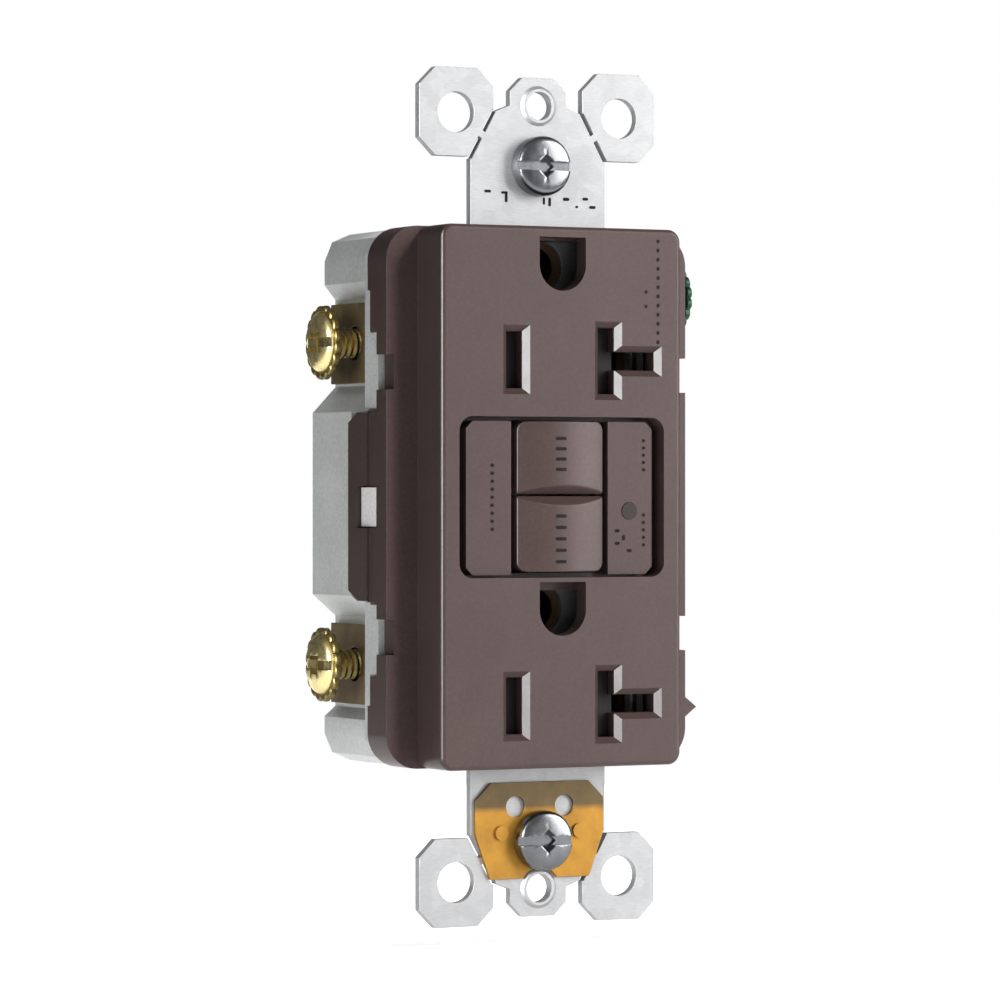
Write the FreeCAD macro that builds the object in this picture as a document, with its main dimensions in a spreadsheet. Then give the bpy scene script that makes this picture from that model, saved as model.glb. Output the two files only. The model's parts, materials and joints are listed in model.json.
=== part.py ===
import FreeCAD, Part
import math
import os
import re
import Sketcher
from FreeCAD import Placement, Rotation, Vector

# A 20 A decorator-style ground-fault receptacle, in millimetres.
# +X is the viewer's right, -Y faces the room, +Z is up (ground holes uppermost).
# The origin is the middle of the mounting strap's rear plane, which lies on the wall box.

DIMENSIONS = {
    # decorator face and the cover's side flange
    "face_half_x": 16.6, "face_half_z": 33.2, "face_front": -7.8, "face_thick": 2.4,
    "face_round": 0.6, "face_corner": 1.6, "wall": 1.6, "flange_half_x": 20.85,
    "flange_front": -1.2, "flange_rear": 4.1, "flange_corner": 4.2, "ledge_thick": 1.2,
    "top_cut_low_z": 10.6, "top_cut_high_z": 20.4, "top_cut_far_z": 25.4,
    "foot_cut_low_z": 12.9, "foot_cut_high_z": 22.0, "foot_cut_far_z": 25.6, "cut_mid_rear": 3.4,
    "cut_near_front": 1.55, "tongue_top_z": 10.4, "tongue_foot_z": 12.7, "tongue_half_x": 21.25,
    "tongue_rear": 8.9,
    "tongue_front": 4.1, "tongue_slant_y": 2.6, "tongue_slant_z": 1.2,
    "notch_upper_z": 15.3, "notch_lower_z": -17.1, "notch_tall": 4.3, "notch_deep": 1.1,
    "tab_front": 1.6, "tab_rear": 6.4, "tab_z": -1.2, "tab_half_z": 2.6,
    "lug_z": -26.4, "lug_half": 1.6, "lug_proud": 1.8,
    # plug openings
    "blade_half_gap": 6.35, "upper_blade_z": 16.8, "lower_blade_z": -25.5, "ground_rise": 11.7,
    "slot_half_wide": 1.1, "slot_half_tall": 3.5, "tee_half_tall": 4.1, "tee_reach": 13.1,
    "tee_half_wide": 1.15, "lead_in": 0.75, "ground_half_wide": 3.2, "ground_flat_rise": 3.4,
    # sunk centre panel with the two buttons
    "recess_half_x": 14.15, "recess_half_z": 9.85, "recess_floor": -4.8, "recess_corner": 1.8,
    "panel_front": -6.95, "panel_in": 6.7, "panel_out": 12.85, "panel_top_z": 9.3,
    "panel_low_z": -9.5, "panel_corner": 0.9,
    "floor_thick": 1.6, "button_half_x": 5.95, "button_top_z": 9.3, "button_end_z": -9.15,
    "button_split_z": 0.25, "button_slope": 1.3, "button_edge": -7.05, "button_crown": 1.1,
    "button_corner": 1.2,
    "button_gap": 0.12, "button_bore": 3.3, "bore_top": -5.5, "test_z": 5.65, "reset_z": -5.15,
    "test_lip_front": -3.1, "test_lip_rear": -2.3, "reset_lip_front": -2.3, "reset_lip_rear": -1.5,
    "lip_proud": 0.7, "post_radius": 1.6, "post_rear": 3.0, "pin_radius": 1.2, "pin_rear": 20.0,
    "pipe_x": 9.7, "pipe_z": -1.7, "pipe_radius": 1.05,
    # mounting strap
    "strap_thick": 1.2, "strap_half_x": 14.8, "strap_shoulder_z": 27.0, "strap_waist_x": 10.7,
    "neck_half_x": 9.35, "strap_edge": 0.9, "window_in": 4.3, "hot_window_out": 8.4,
    "ear_low_z": 41.9, "ear_high_z": 52.8, "ear_far_x": 16.35, "ear_near_x": 6.2,
    "ear_chamfer": 2.2, "ear_hole_x": 11.35, "ear_hole_z": 47.3, "ear_hole_radius": 2.5,
    "neck_top_z": 47.5, "tab_half_x": 3.9, "tab_end_z": 51.9, "tab_chamfer": 1.7,
    "tab_root_z": 48.4, "tapped_z": 48.42, "tapped_radius": 1.75, "collar_radius": 2.6,
    "collar_high": 0.35, "slit_wide": 0.6, "slit_web": 0.9,
    "screw_drop": 0.75, "screw_z": 41.67, "oval_half_x": 2.2, "oval_half_z": 3.4,
    "window_half_x": 7.9, "window_half_z": 10.9,
    # mounting screws
    "mount_shank": 1.72, "mount_neck": 1.5, "thread_start": 2.2, "mount_head": 3.7,
    "mount_head_high": 2.3, "mount_brim": 1.8, "mount_tip": 14.6, "head_slot_half": 0.5,
    "head_slot_deep": 1.2,
    "washer_radius": 3.7, "washer_thick": 0.8,
    # self-grounding clip
    "clip_thick": 0.5, "clip_half_x": 8.9, "clip_top_z": -35.2, "clip_waist_z": -41.6,
    "clip_foot_half_x": 6.9, "clip_foot_z": -47.1, "clip_corner": 2.1, "clip_window_x": 3.4,
    "clip_window_z": -38.2, "clip_window_radius": 1.3, "rivet_x": 5.4, "rivet_z": -41.4,
    "rivet_radius": 0.9,
    # middle frame
    "frame_thick": 1.6, "frame_half_x": 19.0, "frame_half_z": 31.4, "fit": 0.05,
    "way_in": 3.4, "hot_way_out": 9.4, "tee_way_out": 13.7, "ground_way_half_x": 5.3,
    "ground_way_half_z": 4.2, "way_fit": 0.4,
    # back cover
    "rim_half_x": 20.4, "rim_front": 4.3, "rim_rear": 5.8, "rim_raised_front": 2.0,
    "rim_inner_x": 19.15, "rim_half_z": 30.0, "block_half_x": 20.75, "recess_wall_x": 17.6,
    "top_block_z": 10.6, "top_shoulder_z": 13.9, "top_root_z": 24.9, "top_end_z": 26.7,
    "foot_block_z": 12.2, "foot_shoulder_z": 14.9, "foot_root_z": 26.3, "foot_end_z": 27.6,
    "end_half_x": 19.1, "side_rear": 20.5, "back_rear": 24.8,
    "back_inset": 2.2, "end_corner": 3.5, "floor_front": 23.2, "wire_hole_x": 15.9,
    "wire_hole_radius": 1.35, "clamp_way_half_z": 4.7, "wire_hole_half_gap": 3.2,
    "boss_x": 13.0, "boss_z": 29.4, "boss_radius": 2.0,
    "assembly_shank": 1.2, "assembly_tip": -4.4, "assembly_head": 2.3, "assembly_head_front": 21.0,
    # terminals
    "terminal_upper_z": 19.2, "terminal_lower_z": -20.8, "terminal_y": 12.75,
    "terminal_plate_in": 17.65, "terminal_plate_out": 18.65, "terminal_half_z": 5.0,
    "terminal_rear": 19.6, "terminal_front": 6.0, "terminal_late_front": 9.4,
    "terminal_head_in": 22.4, "terminal_head_out": 24.2, "terminal_head_radius": 4.65,
    "terminal_shank": 1.95, "terminal_tip": 12.95, "plate_in": 13.3, "plate_out": 14.7,
    "plate_half_z": 4.5, "plate_half_y": 3.2, "serration": 0.42, "lead_low": 4.5, "lead_high": 1.0,
    "root_low": 3.0, "root_high": 0.2, "lead_thick": 0.8, "crown_high": 0.8, "crown_inset": 1.3,
    "recess_half_wide": 0.65,
    # ground terminal
    "ground_screw_z": 25.2, "ground_screw_y": 5.3, "ground_head_radius": 4.3,
    "ground_head_in": 22.5, "ground_head_out": 24.2, "bracket_in": 17.4, "bracket_out": 18.6,
    "bracket_low_z": 21.7, "bracket_high_z": 28.6, "bracket_rear": 9.1, "bracket_foot_in": 11.0,
    "bracket_foot_high_z": 26.9, "sheet_front": 0.02,
    # contacts
    "leaf_in": 0.85, "leaf_thick": 0.7, "leaf_half_z": 3.3, "contact_front": 1.9,
    "contact_rear": 9.8, "rail_in": 13.9, "rail_out": 15.7, "rail_front": 4.2, "rail_rear": 5.2,
    "point_x": 10.3, "point_radius": 1.4, "point_rear": 6.9,
    "sleeve_in": 2.5, "sleeve_thick": 0.6, "sleeve_rear": 9.5,
    "arm_inner_x": 9.3, "arm_outer_x": 11.3, "arm_front": 8.0, "arm_rear": 8.5,
    "arm_root_z": -19.5, "arm_tip_z": 1.6,
    # trip mechanism
    "lifter_half_x": 4.2, "lifter_front": 9.6, "lifter_rear": 20.9, "lifter_low_z": -9.0,
    "lifter_high_z": -1.4, "ear_front": 8.6, "ear_rear": 10.2, "ear_half_x": 11.4,
    "lifter_ear_low_z": -2.9, "lifter_ear_high_z": 1.6, "latch_front": 18.3, "latch_rear": 19.1,
    "latch_half_x": 2.6, "latch_low_z": -11.2, "latch_high_z": -2.0, "coil_y": 18.7,
    "plunger_radius": 1.6, "plunger_low_z": -26.0, "bobbin_inner": 1.8, "bobbin_outer": 2.4,
    "bobbin_flange": 4.25, "coil_outer": 4.0, "bobbin_low_z": -28.4, "bobbin_high_z": -14.0,
    "flange_thick": 1.0, "collar_low_z": -12.0, "collar_outer": 2.5,
    "blade_front": 3.05, "blade_rear": 3.45, "blade_low_z": 4.0, "blade_high_z": 13.6,
    # circuit
    "board_front": 12.4, "board_rear": 14.0, "board_half_x": 12.8, "board_half_z": 26.0,
    "board_wing_x": 17.0, "board_wing_z": 11.5, "ring_z": 17.6, "ring_outer": 9.0,
    "ring_inner": 4.2, "ring_high": 4.0, "ring_front": 14.3, "ring_gap": 0.4,
    "varistor_y": 18.5, "varistor_z": 3.6, "varistor_low_x": -10.5, "varistor_high_x": -6.6,
    "varistor_radius": 4.1, "capacitor_x": 8.4, "capacitor_z": 3.6, "capacitor_rear": 21.0,
    "capacitor_radius": 3.3, "capacitor_small_x": 14.2, "capacitor_small_z": 4.4,
    "capacitor_small_rear": 19.5, "capacitor_small_radius": 2.2, "thyristor_low_x": -16.2,
    "thyristor_high_x": -11.6, "thyristor_rear": 18.4, "thyristor_low_z": -6.4,
    "thyristor_high_z": 0.4, "chip_low_x": -9.4, "chip_high_x": -4.4, "chip_low_z": 8.0,
    "chip_high_z": 11.5, "chip_high": 1.5, "resistor_radius": 1.15, "resistor_low_z": -10.4,
    "resistor_high_z": -4.6, "diode_radius": 1.0, "diode_low_z": -10.4, "diode_high_z": -6.0,
    "stand_off": 0.15, "lamp_front": 1.95, "lamp_rear": 3.9, "lamp_radius": 1.3,
    "test_blade_half_x": 1.5,
    # springs
    "button_spring_radius": 2.45, "test_spring_wire": 0.45, "reset_spring_wire": 0.5,
    "plunger_spring_radius": 2.05, "plunger_spring_wire": 0.35, "shutter_spring_radius": 0.9,
    "shutter_spring_wire": 0.3, "test_spring_front": -4.2, "reset_spring_front": -4.1,
    # shutters
    "shutter_front": -5.3, "shutter_rear": -2.6, "shutter_low_x": -7.85, "shutter_high_x": 10.8,
    "shutter_half_z": 4.7, "shutter_shift": 3.0,
}

doc = FreeCAD.newDocument("gfci_outlet")
sheet = doc.addObject("Spreadsheet::Sheet", "dims")
for row, (alias, value) in enumerate(DIMENSIONS.items(), start=1):
    sheet.set(f"A{row}", alias)
    sheet.set(f"B{row}", str(value))
    sheet.setAlias(f"B{row}", alias)
doc.recompute()

AXIS_TURN = {
    "x": Rotation(Vector(0, 0, 1), Vector(1, 0, 0)),
    "y": Rotation(Vector(0, 0, 1), Vector(0, 1, 0)),
    "z": Rotation(),
}
OTHER_AXES = {"x": "yz", "y": "xz", "z": "xy"}
PLANES = {"x": "YZ_Plane", "y": "XZ_Plane", "z": "XY_Plane"}
CORNERS = (("-1", "-1"), ("1", "-1"), ("-1", "1"), ("1", "1"))
nodes = []


def bind(item, prop, expression):
    """Ties a property to the sheet: every word in the expression is the alias of a cell."""
    item.setExpression(prop, re.sub(r"[a-z][a-z_]*", r"dims.\g<0>", str(expression)))


def round_solid(kind, name, axis, centre, start):
    """A solid of revolution of some kind, placed with its start on an axis beside a centre."""
    item = doc.addObject(kind, name)
    item.Placement = Placement(Vector(), AXIS_TURN[axis])
    bind(item, "Placement.Base." + axis, start)
    for other, value in zip(OTHER_AXES[axis], centre):
        bind(item, "Placement.Base." + other, value)
    return item


def box(name, x, y, z):
    """A block between two values of x, of y and of z."""
    item = doc.addObject("Part::Box", name)
    for side, axis, (low, high) in (("Length", "x", x), ("Width", "y", y), ("Height", "z", z)):
        bind(item, f"Placement.Base.{axis}", low)
        bind(item, side, f"({high}) - ({low})")
    return item


def rod(name, axis, centre, span, radius):
    """A cylinder along an axis, from one end of its span to the other."""
    item = round_solid("Part::Cylinder", name, axis, centre, span[0])
    bind(item, "Height", f"({span[1]}) - ({span[0]})")
    bind(item, "Radius", radius)
    return item


def cone(name, axis, centre, span, radii):
    """A cone or frustum along an axis, with a radius at each end of its span."""
    item = round_solid("Part::Cone", name, axis, centre, span[0])
    bind(item, "Height", f"({span[1]}) - ({span[0]})")
    bind(item, "Radius1", radii[0])
    bind(item, "Radius2", radii[1])
    return item


def fuse(name, *items):
    """One solid from several touching ones."""
    item = doc.addObject("Part::MultiFuse", name)
    item.Shapes = list(items)
    item.Refine = True
    return item


def group(name, *items):
    """Separate solids that share one node."""
    item = doc.addObject("Part::Compound", name)
    item.Links = list(items)
    return item


def cut(name, base, *tools):
    """The base with every tool taken away."""
    item = doc.addObject("Part::Cut", name)
    item.Base = base
    item.Tool = tools[0] if len(tools) == 1 else fuse(name + "_tools", *tools)
    item.Refine = True
    return item


def node(item, label):
    """Names a finished sub-part, which is written to its own file."""
    item.Label = label
    nodes.append(item)
    return item


def prism(name, axis, points, span):
    """A body padded from a closed outline, between two places along an axis.

    An outline across y is given as (x, z), across x as (y, z) and across z as (x, y).
    """
    body = doc.addObject("PartDesign::Body", name)
    sketch = body.newObject("Sketcher::SketchObject", name + "_outline")
    plane = [item for item in body.Origin.OriginFeatures if item.Role == PLANES[axis]][0]
    sketch.AttachmentSupport = (plane, "")
    sketch.MapMode = "FlatFace"
    start = f"-({span[1]})" if axis == "y" else span[0]
    bind(sketch, "AttachmentOffset.Base.z", start)
    count = len(points)
    for number in range(count):
        angle = 2 * math.pi * number / count
        after = 2 * math.pi * (number + 1) / count
        sketch.addGeometry(Part.LineSegment(Vector(math.cos(angle), math.sin(angle), 0),
                                            Vector(math.cos(after), math.sin(after), 0)), False)
    for number in range(count):
        sketch.addConstraint(Sketcher.Constraint("Coincident", number, 2, (number + 1) % count, 1))
    for number, point in enumerate(points):
        for kind, value in zip(("DistanceX", "DistanceY"), point):
            place = sketch.addConstraint(Sketcher.Constraint(kind, -1, 1, number, 1, 1.0))
            sketch.renameConstraint(place, f"point{number}{kind[-1]}")
            bind(sketch, f"Constraints.point{number}{kind[-1]}", value)
    pad = body.newObject("PartDesign::Pad", name + "_pad")
    pad.Profile = sketch
    bind(pad, "Length", f"({span[1]}) - ({span[0]})")
    doc.recompute()
    return body


def outline_of(upper, lower):
    """A closed outline, the same left and right, from the points of its upper and lower right
    quarters, each listed from the right and with its heights above or below the middle."""
    upper_left = [(f"-({x})", z) for x, z in reversed(upper)]
    lower_left = [(f"-({x})", f"-({z})") for x, z in lower]
    lower_right = [(x, f"-({z})") for x, z in reversed(lower)]
    return list(upper) + upper_left + lower_left + lower_right


def quarters(points):
    """A closed outline from its upper right quarter, listed anticlockwise from the right."""
    return outline_of(points, points)


def rectangle(half_x, half_z):
    return quarters([(half_x, half_z)])


def along(edge, axis):
    """Whether an edge is a straight one along an axis."""
    if not isinstance(edge.Curve, Part.Line):
        return False
    return abs(getattr(edge.tangentAt(edge.FirstParameter), axis)) > 0.999


def rounded(body, radius, wanted):
    """Rounds the edges of a body that pass a test."""
    base = body.Tip
    names = [f"Edge{place}" for place, edge in enumerate(base.Shape.Edges, start=1) if wanted(edge)]
    fillet = body.newObject("PartDesign::Fillet", body.Name + "_round")
    fillet.Base = (base, names)
    bind(fillet, "Radius", radius)
    doc.recompute()
    return fillet


def both_sides(name, builder):
    """The same item on the left and on the right: the builder gets a sign in front of its x values."""
    return [builder(f"{name}_left", "-1"), builder(f"{name}_right", "1")]


def side_box(name, sign, near, far, y, z):
    """A block beside the middle plane, from near to far on the side that the sign says."""
    if sign == "1":
        return box(name, (near, far), y, z)
    return box(name, (f"-({far})", f"-({near})"), y, z)


def side_rod(name, sign, centre, near, far, radius):
    """A cylinder along x beside the middle plane."""
    if sign == "1":
        return rod(name, "x", centre, (near, far), radius)
    return rod(name, "x", centre, (f"-({far})", f"-({near})"), radius)


def corner_rods(name, span, radius):
    """The same cylinder at each of the four assembly screws."""
    return [rod(f"{name}_{number}", "y", (f"{sx} * boss_x", f"{sz} * boss_z"), span, radius)
            for number, (sx, sz) in enumerate(CORNERS)]


# ---- front cover -------------------------------------------------------------------------

def slot_outlines(blade_z):
    """The hot slot, the upright of the T and its branch, each as a span of x and a span of z."""
    return (
        (("-blade_half_gap - slot_half_wide", "-blade_half_gap + slot_half_wide"),
         (f"{blade_z} - slot_half_tall", f"{blade_z} + slot_half_tall")),
        (("blade_half_gap - tee_half_wide", "blade_half_gap + tee_half_wide"),
         (f"{blade_z} - tee_half_tall", f"{blade_z} + tee_half_tall")),
        (("blade_half_gap", "tee_reach"),
         (f"{blade_z} - tee_half_wide", f"{blade_z} + tee_half_wide")),
    )


def plug_cutters(name, blade_z):
    """The hot slot, the T slot and the ground hole of one receptacle, as solids to cut away."""
    depth = ("face_front - 1", "face_front + face_thick + 1")
    ground_z = f"{blade_z} + ground_rise"
    hot, tee, branch = slot_outlines(blade_z)
    return [
        box(name + "_hot", hot[0], depth, hot[1]),
        box(name + "_tee", tee[0], depth, tee[1]),
        box(name + "_branch", branch[0], depth, branch[1]),
        rod(name + "_ground", "y", ("0", ground_z), depth, "ground_half_wide"),
        box(name + "_ground_top", ("-ground_half_wide", "ground_half_wide"), depth,
            (ground_z, f"{ground_z} + ground_flat_rise")),
    ] + lead_ins(name, blade_z)


def wedge(name, x, y, z, front_grow):
    """A four-sided funnel: a block whose front face is larger all round."""
    item = doc.addObject("Part::Wedge", name)
    for prop, value in (("Ymin", y[0]), ("Ymax", y[1]),
                        ("Xmin", f"{x[0]} - {front_grow}"), ("Xmax", f"{x[1]} + {front_grow}"),
                        ("Zmin", f"{z[0]} - {front_grow}"), ("Zmax", f"{z[1]} + {front_grow}"),
                        ("X2min", x[0]), ("X2max", x[1]), ("Z2min", z[0]), ("Z2max", z[1])):
        bind(item, prop, value)
    return item


def lead_ins(name, blade_z):
    """The bevels round the blade slots, which guide a plug in."""
    depth = ("face_front - 0.01", "face_front + lead_in")
    return [wedge(f"{name}_{part}_bevel", x, depth, z, "lead_in")
            for part, (x, z) in zip(("hot", "tee", "branch"), slot_outlines(blade_z))]


def face_block():
    """The raised decorator block, with its four corners and its front edge rounded."""
    block = prism("face_block", "y", rectangle("face_half_x", "face_half_z"),
                  ("face_front", "flange_rear"))
    rounded(block, "face_corner", lambda edge: along(edge, "y"))
    rounded(block, "face_round", lambda edge: edge.BoundBox.YMax < DIMENSIONS["face_front"] + 0.01)
    return block


def tongue(name, sign):
    """A tongue that reaches back over the body, with its rear corners cut off at a slant."""
    front, rear = "tongue_front - 0.5", "tongue_rear"
    bend = "tongue_rear - tongue_slant_y"
    outline = [(front, "-tongue_foot_z"), (bend, "-tongue_foot_z"),
               (rear, "tongue_slant_z - tongue_foot_z"), (rear, "tongue_top_z - tongue_slant_z"),
               (bend, "tongue_top_z"), (front, "tongue_top_z")]
    span = ("flange_half_x - 1", "tongue_half_x")
    if sign == "-1":
        span = ("-tongue_half_x", "-(flange_half_x - 1)")
    return prism(name, "x", outline, span)


def cover_shell():
    """The block and its side flange, with the two tongues that reach back over the body."""
    flange = prism("flange_block", "y", rectangle("flange_half_x", "face_half_z"),
                   ("flange_front", "flange_rear"))
    rounded(flange, "flange_corner", lambda edge: along(edge, "y"))
    tongues = both_sides("tongue", tongue)
    lug = prism("lug", "y", [("flange_half_x - 1", "lug_z - lug_half - 0.6"),
                             ("flange_half_x + lug_proud", "lug_z"),
                             ("flange_half_x - 1", "lug_z + lug_half + 0.6")],
                ("flange_front + 0.4", "flange_rear"))
    return fuse("cover_solid", face_block(), flange, lug, *tongues)


def cover_hollows():
    """The space behind the face, the space inside the flange and the openings at its edges."""
    inner_x, inner_z = "(face_half_x - wall)", "(face_half_z - wall)"
    flange_x = "(flange_half_x - wall)"
    tools = [
        box("behind_face", (f"-{inner_x}", inner_x), ("face_front + face_thick", "flange_rear + 1"),
            (f"-{inner_z}", inner_z)),
        box("behind_ledge", (f"-{flange_x}", flange_x),
            ("flange_front + ledge_thick", "tongue_rear + 1"), (f"-{inner_z}", inner_z)),
    ]
    for name, low, high in (("strap_way_top", f"{inner_z} - 1", "face_half_z + 1"),
                            ("strap_way_foot", "-face_half_z - 1", f"-{inner_z} + 1")):
        tools.append(box(name, ("-neck_half_x - 0.3", "neck_half_x + 0.3"),
                         ("flange_front - fit", "flange_rear + 1"), (low, high)))
    for end, flip in (("top", ""), ("foot", "-")):
        for side, low, high, front in (
                ("near", f"{end}_cut_low_z", f"{end}_cut_high_z", "cut_near_front"),
                ("far", f"({end}_cut_high_z - 0.1)", f"{end}_cut_far_z", "cut_mid_rear")):
            ends = (flip + low, flip + high)[::-1 if flip else 1]
            tools += both_sides(f"side_cut_{side}_{end}", lambda name, sign, z=ends, y=front: side_box(
                name, sign, "rim_inner_x - 0.2", "tongue_half_x + 1", (y, "tongue_rear + 1"), z))
    for name, middle in (("upper", "notch_upper_z"), ("lower", "notch_lower_z")):
        tools += both_sides(f"edge_notch_{name}", lambda label, sign, z=middle: side_box(
            label, sign, "flange_half_x - notch_deep", "tongue_half_x + 1",
            ("flange_front - 1", "flange_rear + 1"), (f"{z} - notch_tall / 2", f"{z} + notch_tall / 2")))
    tools += both_sides("snap_window", lambda name, sign: side_box(
        name, sign, "frame_half_x", "tongue_half_x + 1", ("tab_front", "tab_rear"),
        ("tab_z - tab_half_z", "tab_z + tab_half_z")))
    tools.append(side_box("ground_screw_way", "1", "frame_half_x", "tongue_half_x + 1",
                          ("ground_screw_y - terminal_shank - 0.8", "tongue_rear"),
                          ("bracket_low_z", "bracket_high_z")))
    return tools


def centre_panel():
    """The floor of the centre recess, added across the hollow behind the face."""
    return box("panel_frame", ("-recess_half_x - 1", "recess_half_x + 1"),
               ("face_front + face_thick - 0.2", "recess_floor + floor_thick"),
               ("-recess_half_z - wall", "recess_half_z + wall"))


def panel_pad(name, sign):
    """The raised pad on one side of the buttons, with a groove all round it."""
    edge = f"({sign} * panel_out)"
    bevel = f"({sign} * (panel_out - panel_corner))"
    points = [(f"{sign} * panel_in", "panel_low_z"), (bevel, "panel_low_z"),
              (edge, "panel_low_z + panel_corner"), (edge, "panel_top_z - panel_corner"),
              (bevel, "panel_top_z"), (f"{sign} * panel_in", "panel_top_z")]
    return prism(name, "y", points, ("panel_front", "recess_floor + 0.2"))


def front_cover():
    shell = cut("cover_hollowed", cover_shell(), *cover_hollows())
    posts = corner_rods("cover_post", ("face_front + face_thick - 0.2", "-fit"), "boss_radius")
    solid = fuse("cover_with_panel", shell, centre_panel(), *posts)
    recess = prism("recess", "y", rectangle("recess_half_x", "recess_half_z"),
                   ("face_front - 1", "recess_floor"))
    rounded(recess, "recess_corner", lambda edge: along(edge, "y"))
    recessed = fuse("cover_with_pads", cut("cover_recessed", solid, recess),
                    *both_sides("panel_pad", panel_pad))
    tools = [box("button_way", ("-button_half_x - 0.15", "button_half_x + 0.15"),
                 ("face_front", "flange_rear"), ("button_end_z - 0.15", "button_top_z + 0.15"))]
    tools.append(rod("pipe_way", "y", ("pipe_x", "pipe_z"), ("face_front", "flange_rear"),
                     "pipe_radius + fit"))
    tools += plug_cutters("upper", "upper_blade_z") + plug_cutters("lower", "lower_blade_z")
    tools += corner_rods("cover_pilot", ("assembly_tip - 0.1", "1"), "assembly_shank + fit")
    node(cut("front_cover_cut", recessed, *tools), "front_cover")


# ---- strap, clip and mounting screws -------------------------------------------------------

def ear_slits():
    """The scored lines along which an ear is broken off, either side of one web."""
    run_x = DIMENSIONS["neck_half_x"] - DIMENSIONS["ear_near_x"]
    run_z = DIMENSIONS["neck_top_z"] - DIMENSIONS["ear_low_z"]
    length = math.hypot(run_x, run_z)
    tilt = math.degrees(math.atan2(run_x, run_z))
    half_web = DIMENSIONS["slit_web"] / 2
    slits = []
    for sx in (-1, 1):
        for sz in (-1, 1):
            for start, end in ((-0.2, length / 2 - half_web), (length / 2 + half_web, length + 0.2)):
                slit = doc.addObject("Part::Box", "ear_slit")
                bind(slit, "Length", "slit_wide")
                bind(slit, "Width", "strap_thick + 1")
                slit.Height = end - start
                turn = Rotation(Vector(0, 1, 0), -sx * sz * tilt)
                foot = Vector(sx * DIMENSIONS["neck_half_x"], 0, sz * DIMENSIONS["ear_low_z"])
                along_slit = turn.multVec(Vector(0, 0, sz))
                across = turn.multVec(Vector(-DIMENSIONS["slit_wide"] / 2, 0, 0))
                base = foot + along_slit * (start if sz > 0 else end) + across
                base.y = -DIMENSIONS["strap_thick"] - 0.5
                slit.Placement = Placement(base, turn)
                slits.append(slit)
    return slits


def mounting_strap():
    outline = quarters([
        ("strap_half_x", "strap_shoulder_z"), ("strap_waist_x", "strap_shoulder_z"),
        ("strap_waist_x", "face_half_z - wall - 0.2"), ("neck_half_x", "face_half_z - wall - 0.2"),
        ("neck_half_x", "ear_low_z"), ("ear_far_x - ear_chamfer", "ear_low_z"),
        ("ear_far_x", "ear_low_z + ear_chamfer"), ("ear_far_x", "ear_high_z - ear_chamfer"),
        ("ear_far_x - ear_chamfer", "ear_high_z"), ("ear_near_x + ear_chamfer", "ear_high_z"),
        ("ear_near_x", "ear_high_z - ear_chamfer"), ("ear_near_x", "neck_top_z"),
        ("tab_half_x", "tab_root_z"), ("tab_half_x", "tab_end_z - tab_chamfer"),
        ("tab_half_x - tab_chamfer", "tab_end_z")])
    plate = prism("strap_plate", "y", outline, ("-strap_thick", "0"))
    collars = [cone("tapped_collar", "y", ("0", f"{sign} * tapped_z"),
                    ("-strap_thick - collar_high", "-strap_thick + 0.1"),
                    ("collar_radius - 0.5", "collar_radius")) for sign in ("-1", "1")]
    depth = ("-strap_thick - 1", "1")
    tools = ear_slits()
    for sz in ("-1", "1"):
        tools.append(rod("tapped_hole", "y", ("0", f"{sz} * tapped_z"), depth, "tapped_radius"))
        tools += oval_hole(f"{sz} * screw_z - screw_drop")
        for sx in ("-1", "1"):
            tools.append(rod("ear_hole", "y", (f"{sx} * ear_hole_x", f"{sz} * ear_hole_z"), depth,
                             "ear_hole_radius"))
    tools.append(box("button_window", ("-window_half_x", "window_half_x"), depth,
                     ("-window_half_z", "window_half_z")))
    tools.append(rod("pipe_window", "y", ("pipe_x", "pipe_z"), depth, "pipe_radius + 1"))
    for name, z in (("upper", "upper_blade_z"), ("lower", "lower_blade_z")):
        tall = (f"{z} - tee_half_tall - 0.5", f"{z} + tee_half_tall + 0.5")
        tools.append(box(f"{name}_hot_window", ("-hot_window_out", "-window_in"), depth, tall))
        tools.append(box(f"{name}_tee_window", ("window_in", "strap_half_x - strap_edge"), depth, tall))
        tools.append(rod(f"{name}_ground_window", "y", ("0", f"{z} + ground_rise"), depth,
                         "sleeve_in + sleeve_thick + 0.2"))
    node(cut("strap_cut", fuse("strap_solid", plate, *collars), *tools), "mounting_strap")


def oval_hole(middle_z):
    """The upright oval that a mounting screw stands in."""
    straight = "(oval_half_z - oval_half_x)"
    depth = ("-strap_thick - 1", "1")
    ends = [rod("oval_end", "y", ("0", f"{middle_z} + {sign} * {straight}"), depth, "oval_half_x")
            for sign in ("-1", "1")]
    return ends + [box("oval_middle", ("-oval_half_x", "oval_half_x"), depth,
                       (f"{middle_z} - {straight}", f"{middle_z} + {straight}"))]


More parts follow.
